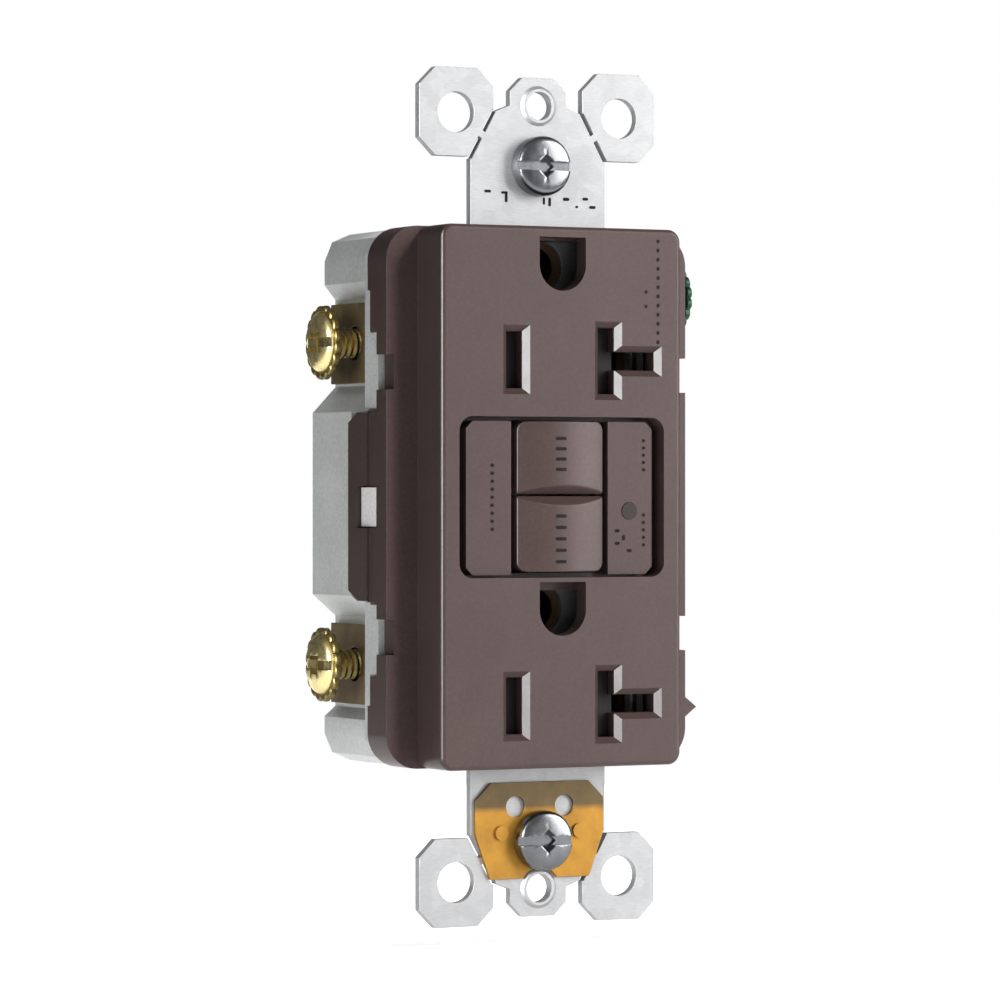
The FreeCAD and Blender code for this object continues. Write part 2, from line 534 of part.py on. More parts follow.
def self_ground_clip():
    outline = [("clip_foot_half_x", "clip_foot_z"), ("clip_half_x", "clip_waist_z"),
               ("clip_half_x", "clip_top_z - clip_corner"), ("clip_half_x - clip_corner", "clip_top_z"),
               ("-clip_half_x + clip_corner", "clip_top_z"), ("-clip_half_x", "clip_top_z - clip_corner"),
               ("-clip_half_x", "clip_waist_z"), ("-clip_foot_half_x", "clip_foot_z")]
    span = ("-strap_thick - clip_thick", "-strap_thick")
    depth = ("-strap_thick - 2", "0")
    plate = prism("clip_plate", "y", outline, span)
    tools = [rod("clip_screw_hole", "y", ("0", "-screw_z - screw_drop"), depth, "oval_half_x"),
             rod("clip_collar_notch", "y", ("0", "-tapped_z"), depth, "collar_radius + 0.1")]
    for sign in ("-1", "1"):
        tools.append(rod("clip_window", "y", (f"{sign} * clip_window_x", "clip_window_z"), depth,
                         "clip_window_radius"))
        tools.append(rod("clip_rivet_hole", "y", (f"{sign} * rivet_x", "rivet_z"), depth,
                         "rivet_radius - 0.3"))
    node(cut("clip_cut", plate, *tools), "self_ground_clip")
    rivets = []
    for sign in ("-1", "1"):
        centre = (f"{sign} * rivet_x", "rivet_z")
        front = "-strap_thick - clip_thick"
        shank = rod("rivet_shank", "y", centre, (front, "-strap_thick"), "rivet_radius - 0.3")
        head = rod("rivet_head", "y", centre, (f"{front} - 0.35", front), "rivet_radius")
        rivets.append(fuse("clip_rivet", shank, head))
    node(group("clip_rivet_pair", *rivets), "clip_rivets")


def mounting_screw(label, middle_z, seat):
    """A captive screw: a slotted head, a plain neck and a thread that starts behind the washer."""
    centre = ("0", middle_z)
    neck = rod(label + "_neck", "y", centre, (seat, "thread_start + 0.1"), "mount_neck")
    shank = rod(label + "_shank", "y", centre, ("thread_start", "mount_tip"), "mount_shank")
    head = cone(label + "_head", "y", centre, (f"{seat} - mount_head_high", f"{seat} - mount_brim"),
                ("mount_head - 0.45", "mount_head"))
    brim = rod(label + "_brim", "y", centre, (f"{seat} - mount_brim", seat), "mount_head")
    front = f"{seat} - mount_head_high"
    depth = (f"{front} - 1", f"{front} + head_slot_deep")
    slot = box(label + "_slot", ("-mount_head - 1", "mount_head + 1"), depth,
               (f"{middle_z} - head_slot_half", f"{middle_z} + head_slot_half"))
    cross = box(label + "_cross", ("-head_slot_half", "head_slot_half"), depth,
                (f"{middle_z} - mount_head / 2", f"{middle_z} + mount_head / 2"))
    solid = fuse(label + "_solid", neck, shank, head, brim)
    node(cut(label + "_cut", solid, slot, cross), label)


def mounting_screws():
    mounting_screw("upper_mounting_screw", "screw_z - screw_drop", "-strap_thick - fit")
    mounting_screw("lower_mounting_screw", "-screw_z - screw_drop", "-strap_thick - clip_thick - fit")
    washers = []
    for sign in ("-1", "1"):
        centre = ("0", f"{sign} * screw_z - screw_drop")
        disc = rod("retaining_disc", "y", centre, ("fit", "fit + washer_thick"), "washer_radius")
        hole = rod("retaining_hole", "y", centre, ("-1", "washer_thick + 1"), "mount_neck + fit")
        washers.append(cut("retaining_washer", disc, hole))
    node(group("retaining_washer_pair", *washers), "retaining_washers")


# ---- middle frame and back cover -----------------------------------------------------------

def middle_frame():
    plate = box("frame_plate", ("-frame_half_x", "frame_half_x"), ("fit", "fit + frame_thick"),
                ("-frame_half_z", "frame_half_z"))
    tab_tall = ("tab_z - tab_half_z + 0.2", "tab_z + tab_half_z - 0.2")
    tabs = both_sides("snap_tab", lambda name, sign: side_box(
        name, sign, "rim_inner_x", "flange_half_x - 0.15", ("tab_front + 0.2", "tab_rear - 0.2"), tab_tall))
    tabs += both_sides("snap_arm", lambda name, sign: side_box(
        name, sign, "frame_half_x - 1.5", "flange_half_x - 0.15", ("tab_front + 0.2", "rim_front - 0.8"),
        tab_tall))
    tabs += both_sides("snap_root", lambda name, sign: side_box(
        name, sign, "frame_half_x - 1.5", "rim_inner_x + fit", ("fit", "rim_front - 0.8"), tab_tall))
    ends = [box("frame_end", ("-neck_half_x", "neck_half_x"), ("fit", "rim_front - 0.1"), z)
            for z in (("frame_half_z - 1", "face_half_z - 0.2"), ("-face_half_z + 0.2", "-frame_half_z + 1"))]
    posts = corner_rods("frame_post", ("fit", "rim_front - 0.1"), "boss_radius")
    depth = ("-1", "rim_front + 1")
    tools = corner_rods("frame_hole", depth, "assembly_shank + fit")
    for name, z in (("upper", "upper_blade_z"), ("lower", "lower_blade_z")):
        for side, span in (("hot", ("-hot_way_out", "-way_in")), ("tee", ("way_in", "tee_way_out"))):
            tools.append(box(f"frame_{name}_{side}_way", span, depth,
                             (f"{z} - tee_half_tall - way_fit", f"{z} + tee_half_tall + way_fit")))
        ground = f"{z} + ground_rise"
        tools.append(box(f"frame_{name}_ground_way", ("-ground_way_half_x", "ground_way_half_x"), depth,
                         (f"{ground} - ground_way_half_z", f"{ground} + ground_way_half_z")))
    tools.append(rod("frame_test_way", "y", ("0", "test_z"), depth, "post_radius + 0.2"))
    tools.append(rod("frame_reset_way", "y", ("0", "reset_z"), depth, "pin_radius + 0.2"))
    tools.append(rod("frame_pipe_way", "y", ("pipe_x", "pipe_z"), depth, "pipe_radius + 0.3"))
    tools.append(box("frame_bracket_way", ("bracket_foot_in - way_fit", "frame_half_x + 1"), depth,
                     ("bracket_low_z - 0.3", "bracket_foot_high_z + 0.3")))
    tools.append(box("frame_bracket_end_way", ("bracket_in - 0.3", "frame_half_x + 1"), depth,
                     ("bracket_low_z - 0.3", "bracket_high_z + 0.3")))
    solid = fuse("frame_solid", plate, *tabs, *ends, *posts)
    node(cut("frame_cut", solid, *tools), "middle_frame")


def body_outline(inset, middle="block_half_x"):
    """The body's outline in front view: a wide middle, side recesses and two end blocks."""
    wide, narrow, end = (f"({x} - {inset})" for x in (middle, "recess_wall_x", "end_half_x"))
    tip = f"(face_half_z - {inset})"
    corner = f"(end_corner - {inset})"
    upper, lower = ([
        (wide, f"{half}_block_z + {inset} * 0.4"), (narrow, f"{half}_shoulder_z - {inset} * 0.4"),
        (narrow, f"{half}_root_z + {inset} * 0.45"), (end, f"{half}_end_z + {inset} * 0.45"),
        (end, f"{tip} - {corner}"), (f"{end} - {corner} * 0.3", f"{tip} - {corner} * 0.3"),
        (f"{end} - {corner}", tip)] for half in ("top", "foot"))
    return outline_of(upper, lower)


def tapered_rear(name, outline, rear, slope):
    """The last stretch of the body's outline, which narrows towards the back."""
    body = prism(name, "y", outline, ("side_rear", rear))
    sketch, pad = body.Group
    bind(sketch, "AttachmentOffset.Base.z", "-side_rear")
    pad.Reversed = True
    pad.TaperAngle = slope
    doc.recompute()
    return body


def back_cover():
    slope = -math.degrees(math.atan2(DIMENSIONS["back_inset"],
                                     DIMENSIONS["back_rear"] - DIMENSIONS["side_rear"]))
    sides = prism("back_sides", "y", body_outline("0"), ("rim_front", "side_rear"))
    rear = tapered_rear("back_rear_part", body_outline("0"), "back_rear", slope)
    rims = [box("rim", ("-rim_half_x", "rim_half_x"), ("rim_front", "rim_rear"),
                ("-rim_half_z", "rim_half_z"))]
    rims += [side_box(f"rim_raised_{sign}_{end}".replace("-", "m"), sign, "rim_inner_x", "rim_half_x",
                      ("rim_raised_front", "rim_front + 0.1"), z)
             for sign in ("-1", "1")
             for end, z in (("top", ("top_cut_low_z + 0.3", "top_cut_high_z - 0.2")),
                            ("foot", ("-foot_cut_high_z + 0.2", "-foot_cut_low_z - 0.3")))]
    solid = fuse("back_solid", sides, rear, *rims)
    hollow_outline = body_outline("wall", "end_half_x")
    inside = prism("back_inside", "y", hollow_outline, ("rim_front - 1", "side_rear"))
    inside_rear = tapered_rear("back_inside_rear", hollow_outline, "floor_front", slope)
    hollow = cut("back_hollow", solid, inside, inside_rear)
    posts = corner_rods("back_post", ("rim_front", "floor_front + 0.1"), "boss_radius")
    filled = fuse("back_filled", hollow, *posts)
    tools = corner_rods("back_screw_hole", ("0", "back_rear + 1"), "assembly_shank + fit")
    tools += corner_rods("back_screw_head_hole", ("assembly_head_front", "back_rear + 1"),
                         "assembly_head + 0.2")
    tools += both_sides("under_tongue", lambda name, sign: side_box(
        name, sign, "end_half_x", "rim_half_x + 1", ("rim_front - 1", "tongue_rear + 0.1"),
        ("-tongue_foot_z - 0.15", "tongue_top_z + 0.15")))
    for z in ("terminal_upper_z", "terminal_lower_z"):
        tools += both_sides("clamp_window", lambda name, sign, z=z: side_box(
            name, sign, "recess_wall_x - wall - 0.5", "terminal_plate_out + fit",
            ("rim_front - 1", "terminal_rear - 0.6"),
            (f"{z} - clamp_way_half_z", f"{z} + clamp_way_half_z")))
        for sx in ("-1", "1"):
            for sz in ("-1", "1"):
                centre = (f"{sx} * wire_hole_x", f"{z} + {sz} * wire_hole_half_gap")
                tools.append(rod("wire_hole", "y", centre, ("terminal_rear - 1.2", "back_rear + 1"),
                                 "wire_hole_radius"))
    tools.append(box("bracket_notch", ("bracket_in - 0.15", "rim_half_x + 1"),
                     ("rim_front - 1", "bracket_rear + 0.2"),
                     ("bracket_low_z - 0.2", "bracket_high_z + 0.2")))
    node(cut("back_cover_cut", filled, *tools), "back_cover")


# ---- terminals -----------------------------------------------------------------------------

TERMINALS = {
    "load_hot": ("-1", "terminal_upper_z", "terminal_front"),
    "load_neutral": ("1", "terminal_upper_z", "terminal_late_front"),
    "line_hot": ("-1", "terminal_lower_z", "terminal_front"),
    "line_neutral": ("1", "terminal_lower_z", "terminal_front"),
}


def terminal(label, sign, z, front):
    """The side plate, its screw and the plate that the screw draws outwards onto the wires."""
    centre = ("terminal_y", z)
    plate = side_box(label + "_plate", sign, "terminal_plate_in", "terminal_plate_out",
                     (front, "terminal_rear"), (f"{z} - terminal_half_z", f"{z} + terminal_half_z"))
    if label.startswith("load"):
        tall = (f"{z} - lead_low", f"{z} - lead_high")
        lead = side_box(label + "_lead", sign, "rail_in", "terminal_plate_out",
                        ("rail_rear", "rail_rear + 1"), tall)
        riser = side_box(label + "_riser", sign, "terminal_plate_in", "terminal_plate_out",
                         ("rail_rear", "terminal_late_front + 1"), tall)
        pieces = [plate, lead, riser]
    else:
        tall = ("arm_root_z - root_low", "arm_root_z - root_high")
        lead = side_box(label + "_lead", sign, "arm_inner_x", "terminal_plate_out",
                        ("arm_rear", "arm_rear + lead_thick"), tall)
        root = side_box(label + "_root", sign, "arm_inner_x", "arm_outer_x",
                        ("arm_front", "arm_rear + 0.1"), tall)
        pieces = [plate, lead, root]
    hole = side_rod(label + "_hole", sign, centre, "terminal_plate_in - 1", "terminal_plate_out + 1",
                    "terminal_shank + 0.15")
    node(cut(label + "_cut", fuse(label + "_solid", *pieces), hole), label + "_terminal")

    clamp = side_box(label + "_clamp", sign, "plate_in", "plate_out",
                     ("terminal_y - plate_half_y", "terminal_y + plate_half_y"),
                     (f"{z} - plate_half_z", f"{z} + plate_half_z"))
    thread = side_rod(label + "_thread", sign, centre, "plate_in - 1", "plate_out + 1",
                      "terminal_shank + fit")
    grooves = []
    for sz in ("-1", "1"):
        middle = (f"{sign} * (plate_out + 0.7)", f"{z} + {sz} * wire_hole_half_gap")
        grooves.append(rod(label + "_groove", "y", middle,
                           ("terminal_y - plate_half_y - 1", "terminal_y + plate_half_y + 1"),
                           "wire_hole_radius"))
    node(cut(label + "_clamp_cut", clamp, thread, *grooves), label + "_pressure_plate")

    shank = side_rod(label + "_shank", sign, centre, "terminal_tip", "terminal_head_in + 0.1",
                     "terminal_shank")
    side_head(label + "_terminal_screw", sign, centre, shank, "terminal_head_in", "terminal_head_out",
              "terminal_head_radius")


def side_head(label, sign, centre, shank, near, far, radius):
    """A round-topped binding head on a side screw, serrated at its rim and slotted across."""
    shoulder = f"{far} - crown_high"
    brim = side_rod(label + "_brim", sign, centre, near, shoulder, radius)
    radii = (radius, f"{radius} - crown_inset")
    crown_span = (shoulder, far)
    if sign == "-1":
        radii = radii[::-1]
        crown_span = (f"-{far}", f"-({shoulder})")
    crown = cone(label + "_crown", "x", centre, crown_span, radii)
    y, z = centre
    tools = [side_box(label + "_slot", sign, f"{far} - 1", f"{far} + 1",
                      (f"{y} - {radius} - 1", f"{y} + {radius} + 1"),
                      (f"{z} - recess_half_wide", f"{z} + recess_half_wide")),
             side_box(label + "_cross", sign, f"{far} - 1", f"{far} + 1",
                      (f"{y} - recess_half_wide", f"{y} + recess_half_wide"),
                      (f"{z} - {radius} / 2", f"{z} + {radius} / 2"))]
    teeth = 16
    for number in range(teeth):
        angle = 2 * math.pi * (number + 0.5) / teeth
        tools.append(side_rod(label + "_nick", sign,
                              (f"{y} + {radius} * {math.cos(angle):.4f}",
                               f"{z} + {radius} * {math.sin(angle):.4f}"),
                              f"{near} - 0.1", f"{far} + 0.1", "serration"))
    return node(cut(label + "_cut", fuse(label + "_solid", shank, brim, crown), *tools), label)


def ground_terminal():
    z, y = "ground_screw_z", "ground_screw_y"
    foot = box("bracket_foot", ("bracket_foot_in", "bracket_out"), ("sheet_front", "strap_thick"),
               ("bracket_low_z", "bracket_foot_high_z"))
    side = box("bracket_side", ("bracket_in", "bracket_out"), ("sheet_front", "bracket_rear"),
               ("bracket_low_z", "bracket_high_z"))
    hole = rod("bracket_hole", "x", (y, z), ("bracket_in - 1", "bracket_out + 1"), "terminal_shank + fit")
    node(cut("bracket_cut", fuse("bracket_solid", foot, side), hole), "ground_terminal")
    shank = rod("ground_shank", "x", (y, z), ("bracket_in - 0.1", "ground_head_in + 0.1"), "terminal_shank")
    side_head("ground_terminal_screw", "1", (y, z), shank, "ground_head_in", "ground_head_out",
              "ground_head_radius")


# ---- plug contacts and contact arms ----------------------------------------------------------

def contact_strip(label, sign):
    """A rail with one pair of spring leaves for each receptacle and a fixed contact point."""
    pieces = [side_box(label + "_rail", sign, "rail_in", "rail_out", ("rail_front", "rail_rear"),
                       ("lower_blade_z - 1.5", "upper_blade_z + leaf_half_z"))]
    for name, z in (("upper", "upper_blade_z"), ("lower", "lower_blade_z")):
        tall = (f"{z} - leaf_half_z", f"{z} + leaf_half_z")
        deep = ("contact_front", "contact_rear")
        for near, far in (("blade_half_gap - leaf_in - leaf_thick", "blade_half_gap - leaf_in"),
                          ("blade_half_gap + leaf_in", "blade_half_gap + leaf_in + leaf_thick")):
            pieces.append(side_box(f"{label}_{name}_leaf", sign, near, far, deep, tall))
        pieces.append(side_box(f"{label}_{name}_back", sign, "blade_half_gap - leaf_in - leaf_thick",
                               "blade_half_gap + leaf_in + leaf_thick",
                               ("contact_rear - 0.7", "contact_rear"), tall))
        pieces.append(side_box(f"{label}_{name}_link", sign, "blade_half_gap + leaf_in", "rail_in + 0.1",
                               ("rail_front", "rail_rear"), (f"{z} + 1.6", f"{z} + leaf_half_z")))
    pieces.append(side_box(label + "_point_arm", sign, "point_x - 1.6", "rail_in + 0.1",
                           ("rail_front", "rail_rear"), ("-1.8", "1.8")))
    pieces.append(rod(label + "_point", "y", (f"{sign} * point_x", "0"),
                      ("rail_rear - 0.1", "point_rear"), "point_radius"))
    node(fuse(label + "_solid", *pieces), label + "_contact_strip")


def contact_arm(label, sign):
    strip = side_box(label + "_arm", sign, "arm_inner_x", "arm_outer_x", ("arm_front", "arm_rear"),
                     ("arm_root_z", "arm_tip_z"))
    point = rod(label + "_arm_point", "y", (f"{sign} * point_x", "0"),
                ("point_rear + fit", "arm_front + 0.1"), "point_radius - 0.4")
    node(fuse(label + "_arm_solid", strip, point), label + "_contact_arm")


def ground_contact(label, blade_z):
    z = f"({blade_z} + ground_rise)"
    flange = box(label + "_flange", ("0.3 - ground_way_half_x", "ground_way_half_x - 0.3"),
                 ("sheet_front", "sheet_front + sleeve_thick"),
                 (f"{z} - ground_way_half_z + 0.3", f"{z} + ground_way_half_z - 0.3"))
    sleeve = rod(label + "_sleeve", "y", ("0", z), ("sheet_front", "sleeve_rear"),
                 "sleeve_in + sleeve_thick")
    bore = rod(label + "_bore", "y", ("0", z), ("-1", "sleeve_rear + 1"), "sleeve_in")
    slit = box(label + "_slit", ("-0.5", "0.5"), ("1.5", "sleeve_rear + 1"), (f"{z} - 4.5", f"{z} + 4.5"))
    node(cut(label + "_cut", fuse(label + "_solid", flange, sleeve), bore, slit), label)


# ---- buttons and trip mechanism --------------------------------------------------------------

def coil_spring(name, axis, centre, span, radius, wire, turns):
    """A compression spring: level turns of round wire, joined down one side."""
    step = f"(({span[1]}) - ({span[0]}) - {wire}) / {turns - 1}"
    rings = []
    for number in range(turns):
        middle = f"{span[0]} + {wire} / 2 + {number} * {step}"
        ring = round_solid("Part::Torus", f"{name}_turn", axis, centre, middle)
        bind(ring, "Radius1", radius)
        bind(ring, "Radius2", f"{wire} / 2")
        rings.append(ring)
    spine_centre = (centre[0], f"{centre[1]} + {radius}")
    rings.append(rod(name + "_spine", axis, spine_centre,
                     (f"{span[0]} + {wire} / 2", f"{span[1]} - {wire} / 2"), f"{wire} * 0.4"))
    return fuse(name, *rings)


def button(label, z, ends, slope_points, lips):
    """A push button, crowned from left to right and sloped down towards its neighbour."""
    lip_front, lip_rear = lips
    low, high = ends
    end = "button_top_z" if label == "test_button" else "(-button_end_z)"
    crown = "((button_half_x * button_half_x + button_crown * button_crown) / (2 * button_crown))"
    front = "(button_edge - button_crown)"
    block = box(label + "_block", ("-button_half_x", "button_half_x"), (front, lip_rear), (low, high))
    barrel = rod(label + "_barrel", "z", ("0", f"{front} + {crown}"), (f"{low} - 1", f"{high} + 1"), crown)
    outline = prism(label + "_outline", "y", rectangle("button_half_x", end), (front, lip_rear))
    rounded(outline, "button_corner", lambda edge: along(edge, "y"))
    head = doc.addObject("Part::MultiCommon", label + "_head")
    head.Shapes = [block, barrel, outline]
    outer = ("lip_proud", "0") if label == "reset_button" else ("0", "lip_proud")
    lip = box(label + "_lip", ("-button_half_x - lip_proud", "button_half_x + lip_proud"),
              (lip_front, lip_rear), (f"{low} - {outer[0]}", f"{high} + {outer[1]}"))
    bore = rod(label + "_bore", "y", ("0", z), ("bore_top", "flange_rear"), "button_bore")
    slope = prism(label + "_slope", "x", slope_points, ("-button_half_x - 1", "button_half_x + 1"))
    return cut(label + "_cut", fuse(label + "_solid", head, lip), bore, slope)


def buttons():
    far_front, near_rear = "button_edge - 2.8", "button_edge + 2"
    hollowed = button("test_button", "test_z", ("button_split_z + button_gap", "button_top_z"),
                      [(far_front, "button_split_z + 2 * button_slope"),
                       (far_front, "button_split_z - button_slope"),
                       (near_rear, "button_split_z - button_slope")],
                      ("test_lip_front", "test_lip_rear"))
    post = rod("test_post", "y", ("0", "test_z"), ("bore_top - 0.1", "post_rear"), "post_radius")
    node(fuse("test_button_solid_with_post", hollowed, post), "test_button")
    node(button("reset_button", "reset_z", ("button_end_z", "button_split_z - button_gap"),
                [(far_front, "button_split_z - 2 * button_slope"),
                 (near_rear, "button_split_z + button_slope"),
                 (far_front, "button_split_z + button_slope")],
                ("reset_lip_front", "reset_lip_rear")), "reset_button")
    node(rod("reset_pin_rod", "y", ("0", "reset_z"), ("bore_top", "pin_rear"), "pin_radius"), "reset_pin")


def springs():
    """Springs stand clear of the pieces that press on them, by the travel of those pieces."""
    node(coil_spring("test_spring_coil", "y", ("0", "test_z"), ("test_spring_front", "0"),
                     "button_spring_radius", "test_spring_wire", 5), "test_spring")
    node(coil_spring("reset_spring_coil", "y", ("0", "reset_z"), ("reset_spring_front", "0"),
                     "button_spring_radius", "reset_spring_wire", 5), "reset_spring")
    node(coil_spring("plunger_spring_coil", "z", ("0", "coil_y"),
                     ("bobbin_high_z + fit", "collar_low_z - fit"),
                     "plunger_spring_radius", "plunger_spring_wire", 3), "plunger_spring")
    middle_y = "(shutter_front + shutter_rear) / 2"
    coils = [coil_spring(f"shutter_coil_{blade_z[:5]}", "x", (middle_y, blade_z),
                         ("wall - face_half_x + 0.1", "shutter_low_x - 0.1"),
                         "shutter_spring_radius", "shutter_spring_wire", 8)
             for blade_z in ("upper_blade_z", "lower_blade_z")]
    node(group("shutter_spring_pair", *coils), "shutter_springs")


def lifter_and_latch():
    core = box("lifter_core", ("-lifter_half_x", "lifter_half_x"), ("lifter_front", "lifter_rear"),
               ("lifter_low_z", "lifter_high_z"))
    ears = box("lifter_ears", ("-ear_half_x", "ear_half_x"), ("ear_front", "ear_rear"),
               ("lifter_ear_low_z", "lifter_ear_high_z"))
    pin_way = rod("lifter_pin_way", "y", ("0", "reset_z"), ("ear_front - 1", "lifter_rear + 1"),
                  "pin_radius + 0.25")
    latch_way = box("lifter_latch_way", ("-latch_half_x - 0.2", "latch_half_x + 0.2"),
                    ("latch_front - 0.15", "latch_rear + 0.15"), ("lifter_low_z - 1", "lifter_high_z + 1"))
    node(cut("lifter_cut", fuse("lifter_solid", core, ears), pin_way, latch_way), "lifter")
    plate = box("latch_plate", ("-latch_half_x", "latch_half_x"), ("latch_front", "latch_rear"),
                ("latch_low_z", "latch_high_z"))
    slot = box("latch_slot", ("-pin_radius - 0.2", "pin_radius + 0.2"), ("latch_front - 1", "latch_rear + 1"),
               ("reset_z - pin_radius - 1.45", "reset_z + pin_radius + 0.15"))
    node(cut("latch_cut", plate, slot), "latch")


def solenoid():
    centre = ("0", "coil_y")
    tube = rod("bobbin_tube", "z", centre, ("bobbin_low_z", "bobbin_high_z"), "bobbin_outer")
    ends = [rod("bobbin_end", "z", centre, span, "bobbin_flange")
            for span in (("bobbin_low_z", "bobbin_low_z + flange_thick"),
                         ("bobbin_high_z - flange_thick", "bobbin_high_z"))]
    bore = rod("bobbin_bore", "z", centre, ("bobbin_low_z - 1", "bobbin_high_z + 1"), "bobbin_inner")
    node(cut("bobbin_cut", fuse("bobbin_solid", tube, *ends), bore), "solenoid_bobbin")
    span = ("bobbin_low_z + flange_thick + fit", "bobbin_high_z - flange_thick - fit")
    node(cut("coil_cut", rod("coil_outside", "z", centre, span, "coil_outer"),
             rod("coil_inside", "z", centre, span, "bobbin_outer + fit")), "solenoid_coil")
    shaft = rod("plunger_shaft", "z", centre, ("plunger_low_z", "latch_low_z - fit"), "plunger_radius")
    collar = rod("plunger_collar", "z", centre, ("collar_low_z", "latch_low_z - fit"), "collar_outer")
    node(fuse("plunger_solid", shaft, collar), "plunger")


def test_blade():
    node(box("test_blade_strip", ("-test_blade_half_x", "test_blade_half_x"), ("blade_front", "blade_rear"),
             ("blade_low_z", "blade_high_z")), "test_blade")


# ---- circuit ---------------------------------------------------------------------------------

def circuit():
    outline = quarters([("board_wing_x", "board_wing_z"), ("board_half_x", "board_wing_z"),
                        ("board_half_x", "board_half_z")])
    board = prism("board_plate", "y", outline, ("board_front", "board_rear"))
    window = box("board_window", ("-lifter_half_x - 0.4", "lifter_half_x + 0.4"),
                 ("board_front - 1", "board_rear + 1"), ("lifter_low_z - 0.4", "lifter_high_z + 0.4"))
    core = rod("board_core", "y", ("0", "ring_z"), ("board_front - 1", "board_rear + 1"), "ring_inner - 0.4")
    node(cut("board_cut", board, window, core), "circuit_board")
    for number, label in enumerate(("sense_transformer", "ground_transformer")):
        front = f"ring_front + {number} * (ring_high + ring_gap)"
        span = (front, front + " + ring_high")
        ring = rod(label + "_ring", "y", ("0", "ring_z"), span, "ring_outer")
        hole = rod(label + "_hole", "y", ("0", "ring_z"), (front + " - 1", front + " + ring_high + 1"),
                   "ring_inner")
        node(cut(label + "_cut", ring, hole), label)
    node(rod("varistor_disc", "x", ("varistor_y", "varistor_z"), ("varistor_low_x", "varistor_high_x"),
             "varistor_radius"), "varistor")
    rear = "board_rear + fit"
    large = rod("capacitor_large", "y", ("capacitor_x", "capacitor_z"), (rear, "capacitor_rear"),
                "capacitor_radius")
    small = rod("capacitor_small", "y", ("capacitor_small_x", "capacitor_small_z"),
                (rear, "capacitor_small_rear"), "capacitor_small_radius")
    node(group("capacitor_pair", large, small), "capacitors")
    node(box("thyristor_block", ("thyristor_low_x", "thyristor_high_x"), (rear, "thyristor_rear"),
             ("thyristor_low_z", "thyristor_high_z")), "switching_thyristor")
    node(box("chip_block", ("chip_low_x", "chip_high_x"),
             ("board_front - fit - chip_high", "board_front - fit"), ("chip_low_z", "chip_high_z")),
         "control_chip")
    resistors = [rod("resistor", "z", (x, "board_rear + resistor_radius + stand_off"),
                     ("resistor_low_z", "resistor_high_z"), "resistor_radius")
                 for x in ("8.6", "11.6", "14.6")]
    node(group("resistor_set", *resistors), "resistors")
    diodes = [rod("diode", "z", (x, "board_front - diode_radius - stand_off - fit"),
                  ("diode_low_z", "diode_high_z"), "diode_radius")
              for x in ("-15.4", "-12.9", "12.9", "15.4")]
    node(group("diode_set", *diodes), "diodes")


def light_parts():
    pipe = ("pipe_x", "pipe_z")
    node(rod("light_pipe_rod", "y", pipe, ("panel_front - 0.1", "lamp_front - fit"), "pipe_radius"),
         "light_pipe")
    node(rod("indicator_body", "y", pipe, ("lamp_front", "lamp_rear"), "lamp_radius"), "indicator_lamp")


# ---- shutters --------------------------------------------------------------------------------

def shutter(label, z):
    """A sliding gate behind the blade slots: its windows meet the slots once it has slid left."""
    depth = ("shutter_front", "shutter_rear")
    through = ("shutter_front - 1", "shutter_rear + 1")
    plate = box(label + "_plate", ("shutter_low_x", "shutter_high_x"), depth,
                (f"{z} - shutter_half_z", f"{z} + shutter_half_z"))
    windows = [box(label + "_window", (f"{x} + shutter_shift - tee_half_wide - 0.1",
                                       f"{x} + shutter_shift + tee_half_wide + 0.1"), through,
                   (f"{z} - tee_half_tall - 0.2", f"{z} + tee_half_tall + 0.2"))
               for x in ("-blade_half_gap", "blade_half_gap")]
    windows.append(box(label + "_branch", ("blade_half_gap + shutter_shift", "shutter_high_x + 1"), through,
                       (f"{z} - tee_half_wide - 0.1", f"{z} + tee_half_wide + 0.1")))
    node(cut(label + "_cut", plate, *windows), label)


def assembly_screws():
    shanks = corner_rods("assembly_shank", ("assembly_tip", "assembly_head_front + 0.1"), "assembly_shank")
    heads = corner_rods("assembly_head", ("assembly_head_front + fit", "assembly_head_front + 2"),
                        "assembly_head")
    screws = []
    for shank, head, (sx, sz) in zip(shanks, heads, CORNERS):
        slot = box("assembly_slot", (f"{sx} * boss_x - 3", f"{sx} * boss_x + 3"),
                   ("assembly_head_front + 1", "assembly_head_front + 3"),
                   (f"{sz} * boss_z - head_slot_half", f"{sz} * boss_z + head_slot_half"))
        screws.append(cut("assembly_screw", fuse("assembly_screw_solid", shank, head), slot))
    node(group("assembly_screw_set", *screws), "assembly_screws")


# ---- the whole device ------------------------------------------------------------------------

front_cover()
mounting_strap()
self_ground_clip()
mounting_screws()
middle_frame()
back_cover()
for terminal_name, (terminal_side, terminal_z, terminal_start) in TERMINALS.items():
    terminal(terminal_name, terminal_side, terminal_z, terminal_start)
ground_terminal()
for strip_name, strip_side in (("hot", "-1"), ("neutral", "1")):
    contact_strip(strip_name, strip_side)
    contact_arm(strip_name, strip_side)
ground_contact("upper_ground_contact", "upper_blade_z")
ground_contact("lower_ground_contact", "lower_blade_z")
buttons()
springs()
lifter_and_latch()
solenoid()
test_blade()
circuit()
light_parts()
shutter("upper_shutter", "upper_blade_z")
shutter("lower_shutter", "lower_blade_z")
assembly_screws()
doc.recompute()

for item in doc.Objects:
    if "Invalid" in item.State or "Error" in item.State:
        raise RuntimeError(f"{item.Name} did not rebuild")
os.makedirs("parts", exist_ok=True)
for item in nodes:
    if item.Shape.isNull() or not item.Shape.isValid() or not item.Shape.Solids:
        raise RuntimeError(f"{item.Label} has no valid solid")
    item.Shape.exportStep(f"parts/{item.Label}.step")
print(len(nodes), "sub-parts written")
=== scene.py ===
import json
import math
from functools import partial
import bmesh
import bpy
from mathutils import Matrix, Vector


